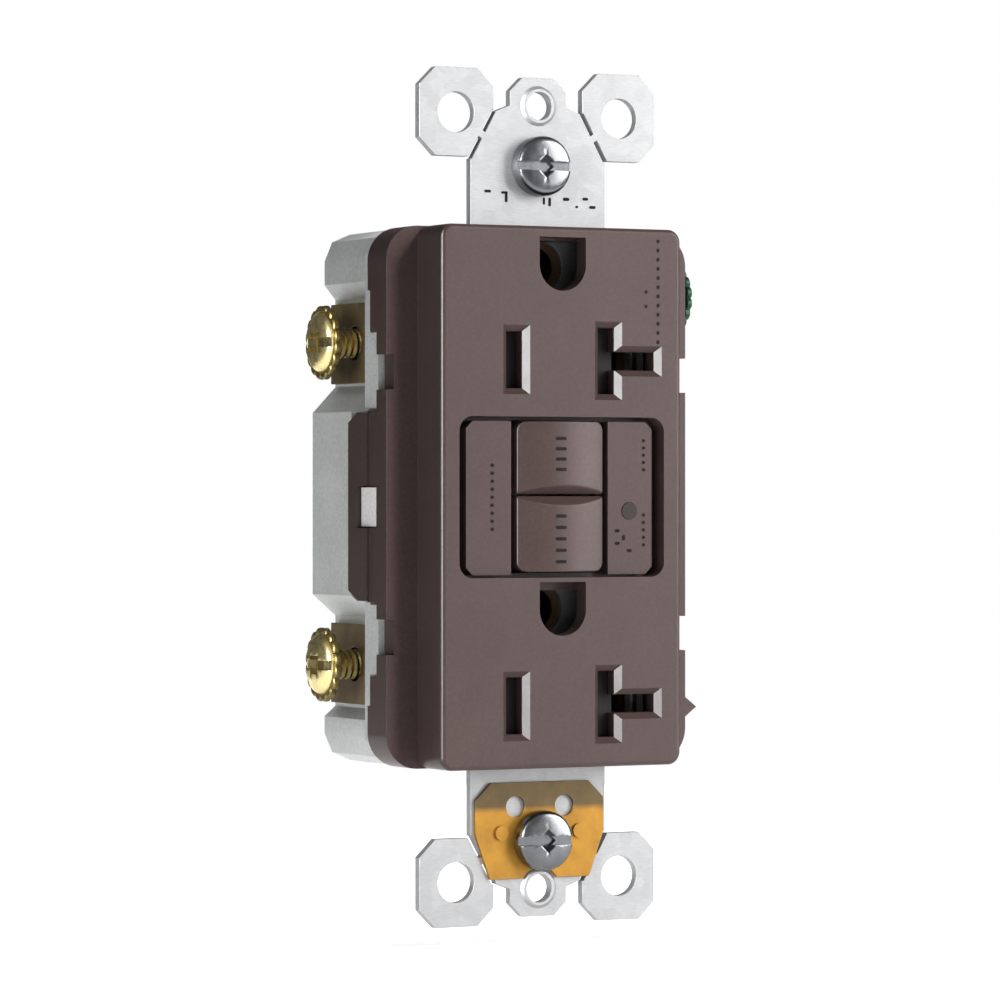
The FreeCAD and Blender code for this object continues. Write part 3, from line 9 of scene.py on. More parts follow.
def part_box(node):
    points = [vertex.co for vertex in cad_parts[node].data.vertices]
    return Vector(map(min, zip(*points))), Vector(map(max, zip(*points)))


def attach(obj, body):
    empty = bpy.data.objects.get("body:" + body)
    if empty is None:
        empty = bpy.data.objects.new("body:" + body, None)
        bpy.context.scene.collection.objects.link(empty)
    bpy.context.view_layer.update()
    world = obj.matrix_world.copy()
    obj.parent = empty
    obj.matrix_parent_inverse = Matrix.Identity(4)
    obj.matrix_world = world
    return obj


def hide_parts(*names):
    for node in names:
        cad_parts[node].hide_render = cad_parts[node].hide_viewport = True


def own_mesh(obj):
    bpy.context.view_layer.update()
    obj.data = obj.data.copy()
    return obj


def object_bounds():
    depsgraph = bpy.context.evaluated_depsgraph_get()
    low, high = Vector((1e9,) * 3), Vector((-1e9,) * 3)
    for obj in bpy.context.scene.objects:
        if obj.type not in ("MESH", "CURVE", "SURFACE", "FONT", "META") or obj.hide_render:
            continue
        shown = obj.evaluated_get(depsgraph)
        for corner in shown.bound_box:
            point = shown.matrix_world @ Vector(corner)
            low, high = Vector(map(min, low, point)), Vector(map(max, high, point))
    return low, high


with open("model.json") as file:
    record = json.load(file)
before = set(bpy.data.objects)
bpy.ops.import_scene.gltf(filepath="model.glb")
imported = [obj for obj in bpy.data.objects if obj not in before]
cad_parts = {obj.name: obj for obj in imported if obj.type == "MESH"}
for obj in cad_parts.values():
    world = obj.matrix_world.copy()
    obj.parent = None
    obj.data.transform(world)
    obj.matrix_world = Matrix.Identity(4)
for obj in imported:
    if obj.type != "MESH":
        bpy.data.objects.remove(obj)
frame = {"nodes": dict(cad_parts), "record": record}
cad_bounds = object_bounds()

MM = 0.001
SCENE = bpy.context.scene
WHITE = (1, 1, 1, 1)
NODES = frame["nodes"]
BODIES = frame["record"]["behaviour"]["bodies"]
BODY_OF = {node: body for body, members in BODIES.items() for node in members}
SLOT_OF = {part["node"]: part["material_slot"] for part in frame["record"]["subparts"]}


# ---- camera, lights and floor ------------------------------------------------------------

CAMERA_AZIMUTH = -27.316
CAMERA_DISTANCE = 579.9 * MM
CAMERA_LENS = 168.25
CAMERA_SHIFT = (-0.0337, -0.0028)
SENSOR_WIDTH = 36.0
NEAR_CLIP = 0.01


def direction(azimuth, elevation=0.0):
    """The way from the object towards a viewer at an azimuth, in degrees, where 0 is in front."""
    turn, rise = math.radians(azimuth), math.radians(elevation)
    return Vector((math.sin(turn) * math.cos(rise), -math.cos(turn) * math.cos(rise), math.sin(rise)))


def add_camera():
    data = bpy.data.cameras.new("photo_camera")
    data.lens = CAMERA_LENS
    data.sensor_width = SENSOR_WIDTH
    data.shift_x, data.shift_y = CAMERA_SHIFT
    data.clip_start = NEAR_CLIP
    camera = bpy.data.objects.new("photo_camera", data)
    SCENE.collection.objects.link(camera)
    camera.location = direction(CAMERA_AZIMUTH) * CAMERA_DISTANCE
    camera.rotation_euler = (-camera.location).to_track_quat("-Z", "Y").to_euler()
    SCENE.camera = camera


def add_area_light(name, azimuth, elevation, distance, size, power, diffuse=True, glossy=True):
    """A rectangle aimed at the object. It may be left out of the light that matt or glossy surfaces take."""
    data = bpy.data.lights.new(name, "AREA")
    data.shape = "RECTANGLE"
    data.size, data.size_y = size
    data.energy = power
    light = bpy.data.objects.new(name, data)
    light.visible_diffuse = diffuse
    light.visible_glossy = glossy
    SCENE.collection.objects.link(light)
    light.location = direction(azimuth, elevation) * distance
    light.rotation_euler = (-light.location).to_track_quat("-Z", "Y").to_euler()


def add_lights():
    """A key from the upper right, a low fill from the left and one from behind and above light the
    surfaces. A softbox and a tall strip are there for the highlights on metal and on rounded edges."""
    add_area_light("key_light", 27.0, 30.0, 1.0, (0.2, 0.2), 10.9, glossy=False)
    add_area_light("gloss_softbox", 50.0, 15.0, 1.0, (0.7, 0.7), 13.2, diffuse=False)
    add_area_light("left_fill", -62.0, 4.0, 0.9, (0.2, 0.9), 0.35, glossy=False)
    add_area_light("edge_strip", -62.0, 4.0, 0.9, (0.2, 0.9), 52.0, diffuse=False)
    add_area_light("rear_fill", 160.0, 50.0, 1.0, (0.7, 0.7), 6.0, glossy=False)


SEEN_STRENGTH = 1.0
CAST_STRENGTH = 0.09
MIRRORED_FRONT, MIRRORED_REAR = 0.42, 0.06
FADE_START, FADE_END = -0.6, 0.5


def add_world():
    """A white studio: bright to look at, dim in the light that it casts. What glossy surfaces see of it
    fades from the front to the rear."""
    world = bpy.data.worlds.new("studio")
    SCENE.world = world
    world.use_nodes = True
    tree = world.node_tree
    tree.nodes.clear()
    looks = {}
    for name, strength in (("seen", SEEN_STRENGTH), ("mirrored", MIRRORED_FRONT), ("cast", CAST_STRENGTH)):
        looks[name] = tree.nodes.new("ShaderNodeBackground")
        looks[name].inputs["Color"].default_value = WHITE
        looks[name].inputs["Strength"].default_value = strength
    place = tree.nodes.new("ShaderNodeTexCoord")
    axes = tree.nodes.new("ShaderNodeSeparateXYZ")
    fade = tree.nodes.new("ShaderNodeMapRange")
    fade.inputs["From Min"].default_value = FADE_START
    fade.inputs["From Max"].default_value = FADE_END
    fade.inputs["To Min"].default_value = MIRRORED_FRONT
    fade.inputs["To Max"].default_value = MIRRORED_REAR
    tree.links.new(place.outputs["Generated"], axes.inputs[0])
    tree.links.new(axes.outputs["Y"], fade.inputs["Value"])
    tree.links.new(fade.outputs["Result"], looks["mirrored"].inputs["Strength"])
    path = tree.nodes.new("ShaderNodeLightPath")
    shown = looks["cast"]
    for ray, look in (("Is Glossy Ray", "mirrored"), ("Is Camera Ray", "seen")):
        choice = tree.nodes.new("ShaderNodeMixShader")
        tree.links.new(path.outputs[ray], choice.inputs[0])
        tree.links.new(shown.outputs[0], choice.inputs[1])
        tree.links.new(looks[look].outputs[0], choice.inputs[2])
        shown = choice
    out = tree.nodes.new("ShaderNodeOutputWorld")
    tree.links.new(shown.outputs[0], out.inputs["Surface"])


FLOOR_DROP = 2.5 * MM
FLOOR_RADIUS = 0.32
FLOOR_SEGMENTS = 128
FLOOR_PAINT = (0.85, 0.85, 0.85, 1)
FLOOR_ROUGHNESS = 0.9
FLOOR_GLOW = 0.6


def add_floor():
    """A plain pale disc just under the object."""
    low = cad_bounds[0][2] - FLOOR_DROP
    made = bmesh.new()
    bmesh.ops.create_circle(made, cap_ends=True, segments=FLOOR_SEGMENTS, radius=FLOOR_RADIUS)
    bmesh.ops.translate(made, verts=made.verts, vec=(0, 0, low))
    floor = new_object("floor", made)
    paint = bpy.data.materials.new("floor_paint")
    paint.use_nodes = True
    shader = paint.node_tree.nodes["Principled BSDF"].inputs
    shader["Base Color"].default_value = FLOOR_PAINT
    shader["Roughness"].default_value = FLOOR_ROUGHNESS
    shader["Emission Color"].default_value = WHITE
    shader["Emission Strength"].default_value = FLOOR_GLOW
    floor.data.materials.append(paint)


# ---- meshes ------------------------------------------------------------------------------

def new_object(name, made):
    """Turns a bmesh into an object of the scene."""
    mesh = bpy.data.meshes.new(name)
    made.to_mesh(mesh)
    made.free()
    item = bpy.data.objects.new(name, mesh)
    SCENE.collection.objects.link(item)
    return item


def applied(item):
    """Bakes an object's modifiers into its mesh."""
    graph = bpy.context.evaluated_depsgraph_get()
    graph.update()
    mesh = bpy.data.meshes.new_from_object(item.evaluated_get(graph), depsgraph=graph)
    item.modifiers.clear()
    item.data = mesh


SHARP_FROM = math.radians(32.0)
WELD_REACH = 0.002 * MM
FLAT_WITHIN = math.radians(1.0)
FACE_AREA_WEIGHT = 80


def smooth(item):
    """Smooth shading that keeps the sharp edges."""
    item.data.shade_smooth()
    item.data.set_sharp_from_angle(angle=SHARP_FROM)
    return item


def softened(item, width, segments=3, angle=35.0, wider=()):
    """Rounds the sharp edges of an object by a width in millimetres. Each wider rule is a width and a
    test that both ends of an edge pass, given in millimetres, to be rounded by that width instead."""
    made = bmesh.new()
    made.from_mesh(item.data)
    weights = made.edges.layers.float.new("bevel_weight_edge")
    largest = max([width] + [wide for wide, passes in wider])
    for edge in made.edges:
        if len(edge.link_faces) == 2 and edge.calc_face_angle(0) > math.radians(angle):
            ends = [vert.co / MM for vert in edge.verts]
            chosen = [wide for wide, passes in wider if all(passes(end) for end in ends)]
            edge[weights] = (chosen[0] if chosen else width) / largest
    made.to_mesh(item.data)
    made.free()
    bevel = item.modifiers.new("edge_round", "BEVEL")
    bevel.width = largest * MM
    bevel.segments = segments
    bevel.limit_method = "WEIGHT"
    bevel.use_clamp_overlap = True
    bevel.miter_outer = "MITER_ARC"
    applied(item)
    smooth(item)
    even = item.modifiers.new("even_normals", "WEIGHTED_NORMAL")
    even.keep_sharp = True
    even.weight = FACE_AREA_WEIGHT
    applied(item)


def cleaned_copy(node, name):
    """A copy of a CAD node's mesh with its flat faces joined up, so that its edges can be rounded."""
    made = bmesh.new()
    made.from_mesh(NODES[node].data)
    bmesh.ops.remove_doubles(made, verts=made.verts, dist=WELD_REACH)
    bmesh.ops.dissolve_limit(made, angle_limit=FLAT_WITHIN, verts=made.verts, edges=made.edges, delimit=set())
    return new_object(name, made)


def stands_for(item, node):
    """The piece takes the place of a CAD node: its material and its body."""
    item.data.materials.clear()
    item.data.materials.append(finish_of(node))
    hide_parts(node)
    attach(item, BODY_OF[node])


def refined(node, width, wider=()):
    """The CAD shape with its edges rounded."""
    item = cleaned_copy(node, node + "_finished")
    softened(item, width, wider=wider)
    stands_for(item, node)


def bridged(made, first, second):
    """A band of faces between two closed rings of the same number of points."""
    for number in range(len(first)):
        after = (number + 1) % len(first)
        made.faces.new((first[number], first[after], second[after], second[number]))


def turned_point(axis, centre, radius, angle, along):
    """A point round an axis through the centre, which gives the two other coordinates."""
    near, far = centre[0] + radius * math.cos(angle), centre[1] + radius * math.sin(angle)
    place = (along, near, far) if axis == "x" else (near, along, far)
    return Vector(place) * MM


def turned(name, profile, axis, centre, segments, rim):
    """A body of revolution from (radius, place along the axis) points in millimetres, closed at both
    ends. The rim rule may change a radius: it takes the radius, the place and the angle."""
    made = bmesh.new()
    rings = []
    for radius, along in profile:
        ring = []
        for number in range(segments):
            angle = 2 * math.pi * number / segments
            reach = rim(radius, along, angle)
            ring.append(made.verts.new(turned_point(axis, centre, reach, angle, along)))
        rings.append(ring)
    for first, second in zip(rings, rings[1:]):
        bridged(made, first, second)
    for ring, place in ((rings[0], profile[0][1]), (rings[-1], profile[-1][1])):
        tip = made.verts.new(turned_point(axis, centre, 0, 0, place))
        for number in range(segments):
            made.faces.new((ring[number], ring[(number + 1) % segments], tip))
    bmesh.ops.recalc_face_normals(made, faces=made.faces)
    return new_object(name, made)


def block(name, low, high, turn=0.0):
    """A box to cut with, from two corners in millimetres, turned about its own middle and the Y axis."""
    low, high = Vector(low), Vector(high)
    made = bmesh.new()
    bmesh.ops.create_cube(made, size=1.0)
    bmesh.ops.scale(made, verts=made.verts, vec=(high - low) * MM)
    bmesh.ops.rotate(made, verts=made.verts, matrix=Matrix.Rotation(math.radians(turn), 3, "Y"))
    bmesh.ops.translate(made, verts=made.verts, vec=(low + high) / 2 * MM)
    return new_object(name, made)


def carved(item, *tools):
    """Cuts tools out of an object and clears them away."""
    for tool in tools:
        cutter = item.modifiers.new("cut", "BOOLEAN")
        cutter.operation = "DIFFERENCE"
        cutter.solver = "EXACT"
        cutter.object = tool
        applied(item)
        bpy.data.objects.remove(tool)


# ---- materials ---------------------------------------------------------------------------

EVEN = (1, 1, 1)
DRAWN_ALONG_Z = (1, 1, 9)
DRAWN_ALONG_X = (9, 1, 1)


class Surface:
    """A procedural material, built up a layer at a time on one Principled shader."""

    def __init__(self, name, roughness, metallic=0.0):
        self.material = bpy.data.materials.new(name)
        self.material.use_nodes = True
        self.tree = self.material.node_tree
        self.shader = self.tree.nodes["Principled BSDF"]
        self.shader.inputs["Metallic"].default_value = metallic
        self.shader.inputs["Roughness"].default_value = roughness
        self.place = self.tree.nodes.new("ShaderNodeTexCoord").outputs["Object"]
        self.height = None

    def node(self, kind, **values):
        """A new node, with values for its sockets or for its own settings."""
        made = self.tree.nodes.new(kind)
        for key, value in values.items():
            if key in made.inputs.keys():
                made.inputs[key].default_value = value
            else:
                setattr(made, key, value)
        return made

    def link(self, source, target):
        self.tree.links.new(source, target)

    def stretched(self, scale):
        """The object's own coordinates, scaled along each axis."""
        mapping = self.node("ShaderNodeMapping")
        mapping.inputs["Scale"].default_value = scale
        self.link(self.place, mapping.inputs["Vector"])
        return mapping.outputs["Vector"]

    def noise(self, size, detail=3.0, rough=0.55, stretch=EVEN):
        """Noise whose features measure about a size in millimetres."""
        made = self.node("ShaderNodeTexNoise", Scale=1 / (size * MM), Detail=detail, Roughness=rough)
        self.link(self.stretched(stretch), made.inputs["Vector"])
        return made.outputs["Fac"]

    def crystals(self, size):
        """A random colour for each cell of about a size in millimetres."""
        made = self.node("ShaderNodeTexVoronoi", Scale=1 / (size * MM), feature="F1")
        self.link(self.stretched(EVEN), made.inputs["Vector"])
        return made.outputs["Color"]

    def ramp(self, source, stops):
        """Colours read off a ramp whose stops are a place and a colour."""
        made = self.node("ShaderNodeValToRGB")
        ramp = made.color_ramp
        while len(ramp.elements) < len(stops):
            ramp.elements.new(0.5)
        for element, (place, colour) in zip(ramp.elements, stops):
            element.position = place
            element.color = (*colour, 1)
        self.link(source, made.inputs["Fac"])
        return made.outputs["Color"]

    def multiplied(self, first, second):
        """Two colours, the one tinted by the other."""
        made = self.node("ShaderNodeMix", data_type="RGBA", blend_type="MULTIPLY")
        made.inputs[0].default_value = 1.0
        self.link(first, made.inputs[6])
        self.link(second, made.inputs[7])
        return made.outputs[2]

    def colour(self, source):
        self.link(source, self.shader.inputs["Base Color"])

    def roughness(self, source, low, high):
        """Roughness that runs from low to high with a source."""
        made = self.node("ShaderNodeMapRange")
        made.inputs["To Min"].default_value = low
        made.inputs["To Max"].default_value = high
        self.link(source, made.inputs["Value"])
        self.link(made.outputs["Result"], self.shader.inputs["Roughness"])

    def bump(self, source, depth, strength=1.0):
        """Adds relief of a depth in millimetres."""
        made = self.node("ShaderNodeBump", Strength=strength, Distance=depth * MM)
        self.link(source, made.inputs["Height"])
        if self.height is not None:
            self.link(self.height, made.inputs["Normal"])
        self.height = made.outputs["Normal"]
        self.link(self.height, self.shader.inputs["Normal"])


def shade(colour, factor):
    """A colour made darker or lighter."""
    return tuple(min(1.0, value * factor) for value in colour)


PLASTIC_SPECULAR = 0.24


def moulded_plastic(name, colour, roughness, grain=0.16, relief=0.006, mottling=0.05):
    """Moulded plastic: faint flow mottling, a fine spark-eroded grain and a few rubbed spots."""
    made = Surface(name, roughness)
    made.shader.inputs["Specular IOR Level"].default_value = PLASTIC_SPECULAR
    broad = made.noise(9.0, 4.0, 0.6)
    mottled = made.ramp(broad, [(0.35, shade(colour, 1 - mottling)), (0.65, shade(colour, 1 + mottling))])
    specks = made.ramp(made.noise(0.35, 2.0), [(0.42, (0.93, 0.93, 0.93)), (0.6, (1.05, 1.05, 1.05))])
    made.colour(made.multiplied(mottled, specks))
    made.roughness(made.noise(2.5, 5.0, 0.6), roughness - 0.06, roughness + 0.08)
    made.bump(made.noise(grain, 2.0, 0.6), relief, 0.5)
    return made.material


def plated_metal(name, colour, roughness, scratches=EVEN, tarnish=0.12, relief=0.003, spangle=None,
                 metallic=1.0):
    """Plated or rolled metal: fine directional lines, cloudy tarnish and an uneven polish."""
    made = Surface(name, roughness, metallic)
    cloudy = made.ramp(made.noise(3.5, 5.0, 0.65),
                       [(0.3, shade(colour, 1 - tarnish)), (0.7, shade(colour, 1 + tarnish * 0.4))])
    lines = made.noise(0.9, 4.0, 0.7, scratches)
    lined = made.ramp(lines, [(0.35, (0.9, 0.9, 0.9)), (0.65, (1.04, 1.04, 1.04))])
    shaded = made.multiplied(cloudy, lined)
    if spangle:
        flakes = made.ramp(made.crystals(spangle), [(0.0, (0.93, 0.93, 0.93)), (1.0, (1.05, 1.05, 1.06))])
        shaded = made.multiplied(shaded, flakes)
    made.colour(shaded)
    made.roughness(lines, roughness - 0.07, roughness + 0.12)
    made.bump(lines, relief, 0.6)
    made.bump(made.noise(0.5, 3.0), relief * 1.5, 0.3)
    return made.material


def wound_wire(name, colour, pitch):
    """Enamelled wire wound side by side: fine ridges one above the other, with painted shade in the grooves
    between them.
    """
    made = Surface(name, 0.3, 0.6)
    wave = made.node("ShaderNodeTexWave", wave_type="BANDS", bands_direction="Z", Scale=0.05)
    made.link(made.stretched((0.0, 0.0, 1 / (pitch * MM))), wave.inputs["Vector"])
    # painted shade: the wire is darker in the grooves between the turns
    made.colour(made.ramp(wave.outputs["Fac"], [(0.1, shade(colour, 0.4)), (0.8, colour)]))
    made.bump(wave.outputs["Fac"], 0.1, 0.8)
    return made.material


# Heights between which the clip's painted shade fades in: yellow below, painted brown shade above the fold.
CLIP_LIT_Z, CLIP_SHADED_Z = -38.9, -38.1
CLIP_YELLOW, CLIP_SHADE_BROWN = (0.33, 0.165, 0.022), (0.095, 0.065, 0.03)


def clip_brass(name):
    """Yellow brass with painted shade above the fold, where it meets the cover: the bent upper part is
    painted brown.
    """
    made = Surface(name, 0.36, 0.7)
    axes = made.node("ShaderNodeSeparateXYZ")
    made.link(made.place, axes.inputs[0])
    level = made.node("ShaderNodeMapRange")
    level.inputs["From Min"].default_value = CLIP_LIT_Z * MM
    level.inputs["From Max"].default_value = CLIP_SHADED_Z * MM
    made.link(axes.outputs["Z"], level.inputs["Value"])
    # painted shade: brown above the fold, yellow below it
    painted_shade = made.ramp(level.outputs["Result"], [(0.0, CLIP_YELLOW), (1.0, CLIP_SHADE_BROWN)])
    clouds = made.ramp(made.noise(2.4, 4.0, 0.6), [(0.3, (0.78, 0.78, 0.8)), (0.7, (1.1, 1.08, 1.0))])
    made.colour(made.multiplied(painted_shade, clouds))
    lines = made.noise(0.8, 4.0, 0.7, DRAWN_ALONG_X)
    made.roughness(lines, 0.3, 0.46)
    made.bump(lines, 0.004, 0.6)
    return made.material


def plastic(**looks):
    """A moulded plastic that has its looks and waits for its name."""
    return partial(moulded_plastic, **looks)


def metal(**looks):
    """A plated metal that has its looks and waits for its name."""
    return partial(plated_metal, **looks)


BROWN = (0.066, 0.0425, 0.0395)
SURFACES = {
    "cover_brown": plastic(colour=BROWN, roughness=0.34),
    "button_brown": plastic(colour=BROWN, roughness=0.36),
    "body_grey": plastic(colour=(0.54, 0.56, 0.552), roughness=0.55, grain=0.3, relief=0.014, mottling=0.06),
    "frame_white": plastic(colour=(0.84, 0.82, 0.8), roughness=0.5),
    "zinc_steel": metal(colour=(0.33, 0.332, 0.335), roughness=0.5, scratches=DRAWN_ALONG_Z, tarnish=0.06,
                        spangle=1.6, metallic=0.8),
    "screw_steel": metal(colour=(0.16, 0.165, 0.172), roughness=0.2, tarnish=0.14),
    "clip_brass": clip_brass,
    "terminal_brass": metal(colour=(0.17, 0.125, 0.065), roughness=0.42, scratches=DRAWN_ALONG_Z,
                            tarnish=0.3),
    "screw_brass": metal(colour=(0.86, 0.72, 0.34), roughness=0.26, tarnish=0.22),
    "terminal_silver": metal(colour=(0.5, 0.49, 0.47), roughness=0.36, scratches=DRAWN_ALONG_Z),
    "screw_silver": metal(colour=(0.7, 0.7, 0.7), roughness=0.24, tarnish=0.1),
    "screw_green": metal(colour=(0.012, 0.1, 0.04), roughness=0.34, tarnish=0.3, metallic=0.6),
    "fibre": plastic(colour=(0.3, 0.25, 0.19), roughness=0.8, grain=0.3, relief=0.05, mottling=0.2),
    "contact_bronze": metal(colour=(0.16, 0.1, 0.055), roughness=0.4, scratches=DRAWN_ALONG_Z, tarnish=0.2),
    "spring_steel": metal(colour=(0.5, 0.5, 0.52), roughness=0.25, tarnish=0.15),
    "mechanism_black": plastic(colour=(0.035, 0.035, 0.04), roughness=0.45),
    "mechanism_natural": plastic(colour=(0.6, 0.56, 0.45), roughness=0.4),
    "coil_copper": partial(wound_wire, colour=(0.55, 0.2, 0.08), pitch=0.2),
    "board_green": plastic(colour=(0.02, 0.13, 0.05), roughness=0.3, grain=0.8, relief=0.01, mottling=0.2),
    "ring_plastic": plastic(colour=(0.06, 0.08, 0.12), roughness=0.4),
    "varistor_blue": plastic(colour=(0.02, 0.09, 0.36), roughness=0.3, grain=0.8, relief=0.03),
    "resin_black": plastic(colour=(0.02, 0.02, 0.02), roughness=0.5, grain=0.12, relief=0.01),
    "resistor_tan": plastic(colour=(0.5, 0.37, 0.2), roughness=0.3),
    "pipe_clear": plastic(colour=(0.03, 0.022, 0.02), roughness=0.2),
    "lamp_green": plastic(colour=(0.1, 0.4, 0.12), roughness=0.2),
    "shutter_dark": plastic(colour=(0.008, 0.006, 0.006), roughness=0.6),
}
# Darker copies of the screw metals: painted shade on the rims, shanks, slots and sockets of the side screws.
SHADED_SCREW_LOOKS = {
    "screw_brass": ("brass_rim_surface", dict(colour=(0.2, 0.155, 0.06), roughness=0.36, tarnish=0.3)),
    "screw_silver": ("silver_rim_surface", dict(colour=(0.36, 0.36, 0.36), roughness=0.34, tarnish=0.2)),
    "screw_green": ("green_rim_surface", dict(colour=(0.006, 0.05, 0.02), roughness=0.4, tarnish=0.3,
                                              metallic=0.5)),
}
MATERIALS = {slot: make(slot + "_surface") for slot, make in SURFACES.items()}
MARK = moulded_plastic("mark_surface", (0.004, 0.003, 0.003), 0.9)
SHADED_SCREW_METALS = {slot: plated_metal(name, **looks) for slot, (name, looks) in SHADED_SCREW_LOOKS.items()}


def finish_of(node):
    return MATERIALS[SLOT_OF[node]]


def coat_cad_nodes():
    """Every CAD node takes its slot's procedural material."""
    for node, item in NODES.items():
        for place in range(len(item.material_slots)):
            item.material_slots[place].material = finish_of(node)
        if not item.material_slots:
            item.data.materials.append(finish_of(node))


# ---- the pieces --------------------------------------------------------------------------

SIDES = ("hot", "neutral")
FEEDS = ("load", "line")
EDGE_ROUNDS = {
    "front_cover": 0.22, "back_cover": 0.3, "mounting_strap": 0.12, "self_ground_clip": 0.08,
    "middle_frame": 0.12, "test_button": 0.25, "reset_button": 0.25,
    "ground_terminal": 0.1, "upper_shutter": 0.15, "lower_shutter": 0.15,
}
EDGE_ROUNDS.update({f"{feed}_{side}_terminal": 0.1 for side in SIDES for feed in FEEDS})

# The outer edges that are rounded more: the cover's ledge, its tongues and its two ends, then the
# body's rear and its sides.
OUTER_ROUNDS = {
    "front_cover": [
        (0.5, lambda at: abs(at.x) > 20.7 and at.y < -1.0),
        (0.4, lambda at: abs(at.x) > 21.1 and 3.4 < at.y < 3.8),
        (0.45, lambda at: abs(at.z) > 33.0),
    ],
    "back_cover": [
        (0.9, lambda at: at.y > 20.0),
        (0.6, lambda at: abs(at.x) > 17.0 and at.y > 5.9),
    ],
}


def finish_shells():
    for node, width in EDGE_ROUNDS.items():
        refined(node, width, OUTER_ROUNDS.get(node, ()))


# ---- screws ------------------------------------------------------------------------------

THREAD_PITCH = 0.794
THREAD_DEPTH = 0.22
RINGS_PER_TURN = 6


def centre_of(node):
    """The middle of a node's box, in millimetres."""
    low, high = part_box(node)
    return [(first + second) / 2 / MM for first, second in zip(low, high)]


def thread_profile(start, end, radius):
    """Rings for a threaded stretch, close enough together to take the thread's shape."""
    steps = int(abs(end - start) / THREAD_PITCH * RINGS_PER_TURN)
    return [(radius, start + (end - start) * number / steps) for number in range(steps + 1)]


def threaded(radius, along, angle, shank):
    """The radius of a thread's surface, which runs up and down once in each turn."""
    if abs(radius - shank) > 0.001:
        return radius
    phase = (along / THREAD_PITCH + angle / (2 * math.pi)) % 1.0
    return shank - THREAD_DEPTH * abs(2 * phase - 1)


# Side screws: a serrated rim round a raised dome, in millimetres.
TERMINAL_HEAD = 4.65
GROUND_HEAD = 4.3
HEAD_THICK = 1.8
RIM_WIDE = 1.05
TOOTHED_WIDE = 0.8
HEAD_TEETH = 16
TOOTH_DEPTH = 0.42
TOOTH_FADE = 0.4
TOOTH_GAP_POWER = 1.5
SIDE_SHANK = 1.93
SIDE_SLOT_HALF, SIDE_SLOT_DEEP = 0.6, 0.85
SIDE_SOCKET_HALF, SIDE_SOCKET_DEEP = 1.15, 1.05
SIDE_SEGMENTS = 128
SIDE_ROUND = 0.07
# Where the lit colour ends and the painted shade begins: just past the dome, and inside its socket and its
# slot.
LIT_MARGIN = 0.1
SOCKET_SHARE, SOCKET_BELOW = 0.7, 0.25
SLOT_WALL_INSET, SLOT_WALL_TILT = 0.2, 0.3
# Mounting screws: a nearly flat round head on a plain neck and a threaded shank.
MOUNT_HEAD, MOUNT_NECK, MOUNT_SHANK = 3.7, 1.5, 1.71
MOUNT_HEAD_THICK = 2.3
MOUNT_NECK_END, MOUNT_THREAD_START = 2.1, 2.3
MOUNT_SLOT_HALF, MOUNT_SLOT_DEEP, MOUNT_SLOT_REACH = 0.55, 1.0, 5.0
MOUNT_SOCKET_HALF, MOUNT_SOCKET_DEEP = 1.05, 1.5
MOUNT_SEGMENTS = 96
MOUNT_ROUND = 0.09
SCREW_ROUND_STEPS, SCREW_ROUND_FROM = 2, 50.0
# How far a cutter stands out in front of what it cuts.
CUT_CLEAR = 1


def painted_shade_on_screw(item, node, centre, dome, outer):
    """A lit dome, with painted shade in a darker copy of the metal on the rim, shank, slot and socket, on one
    side screw.
    """
    stands_for(item, node)
    item.data.materials.append(SHADED_SCREW_METALS[SLOT_OF[node]])
    lit_reach = dome + LIT_MARGIN
    for face in item.data.polygons:
        at = face.center / MM
        across = math.hypot(at.y - centre[0], at.z - centre[1])
        on_dome = across <= lit_reach and abs(at.x) >= outer - HEAD_THICK + LIT_MARGIN
        in_socket = across < SOCKET_SHARE * lit_reach and abs(at.x) < outer - SOCKET_BELOW
        slot_wall = across < lit_reach - SLOT_WALL_INSET and abs(face.normal.x) < SLOT_WALL_TILT
        # Faces off the dome, in the socket or on the slot walls take the darker copy: painted shade.
        if not on_dome or in_socket or slot_wall:
            face.material_index = 1


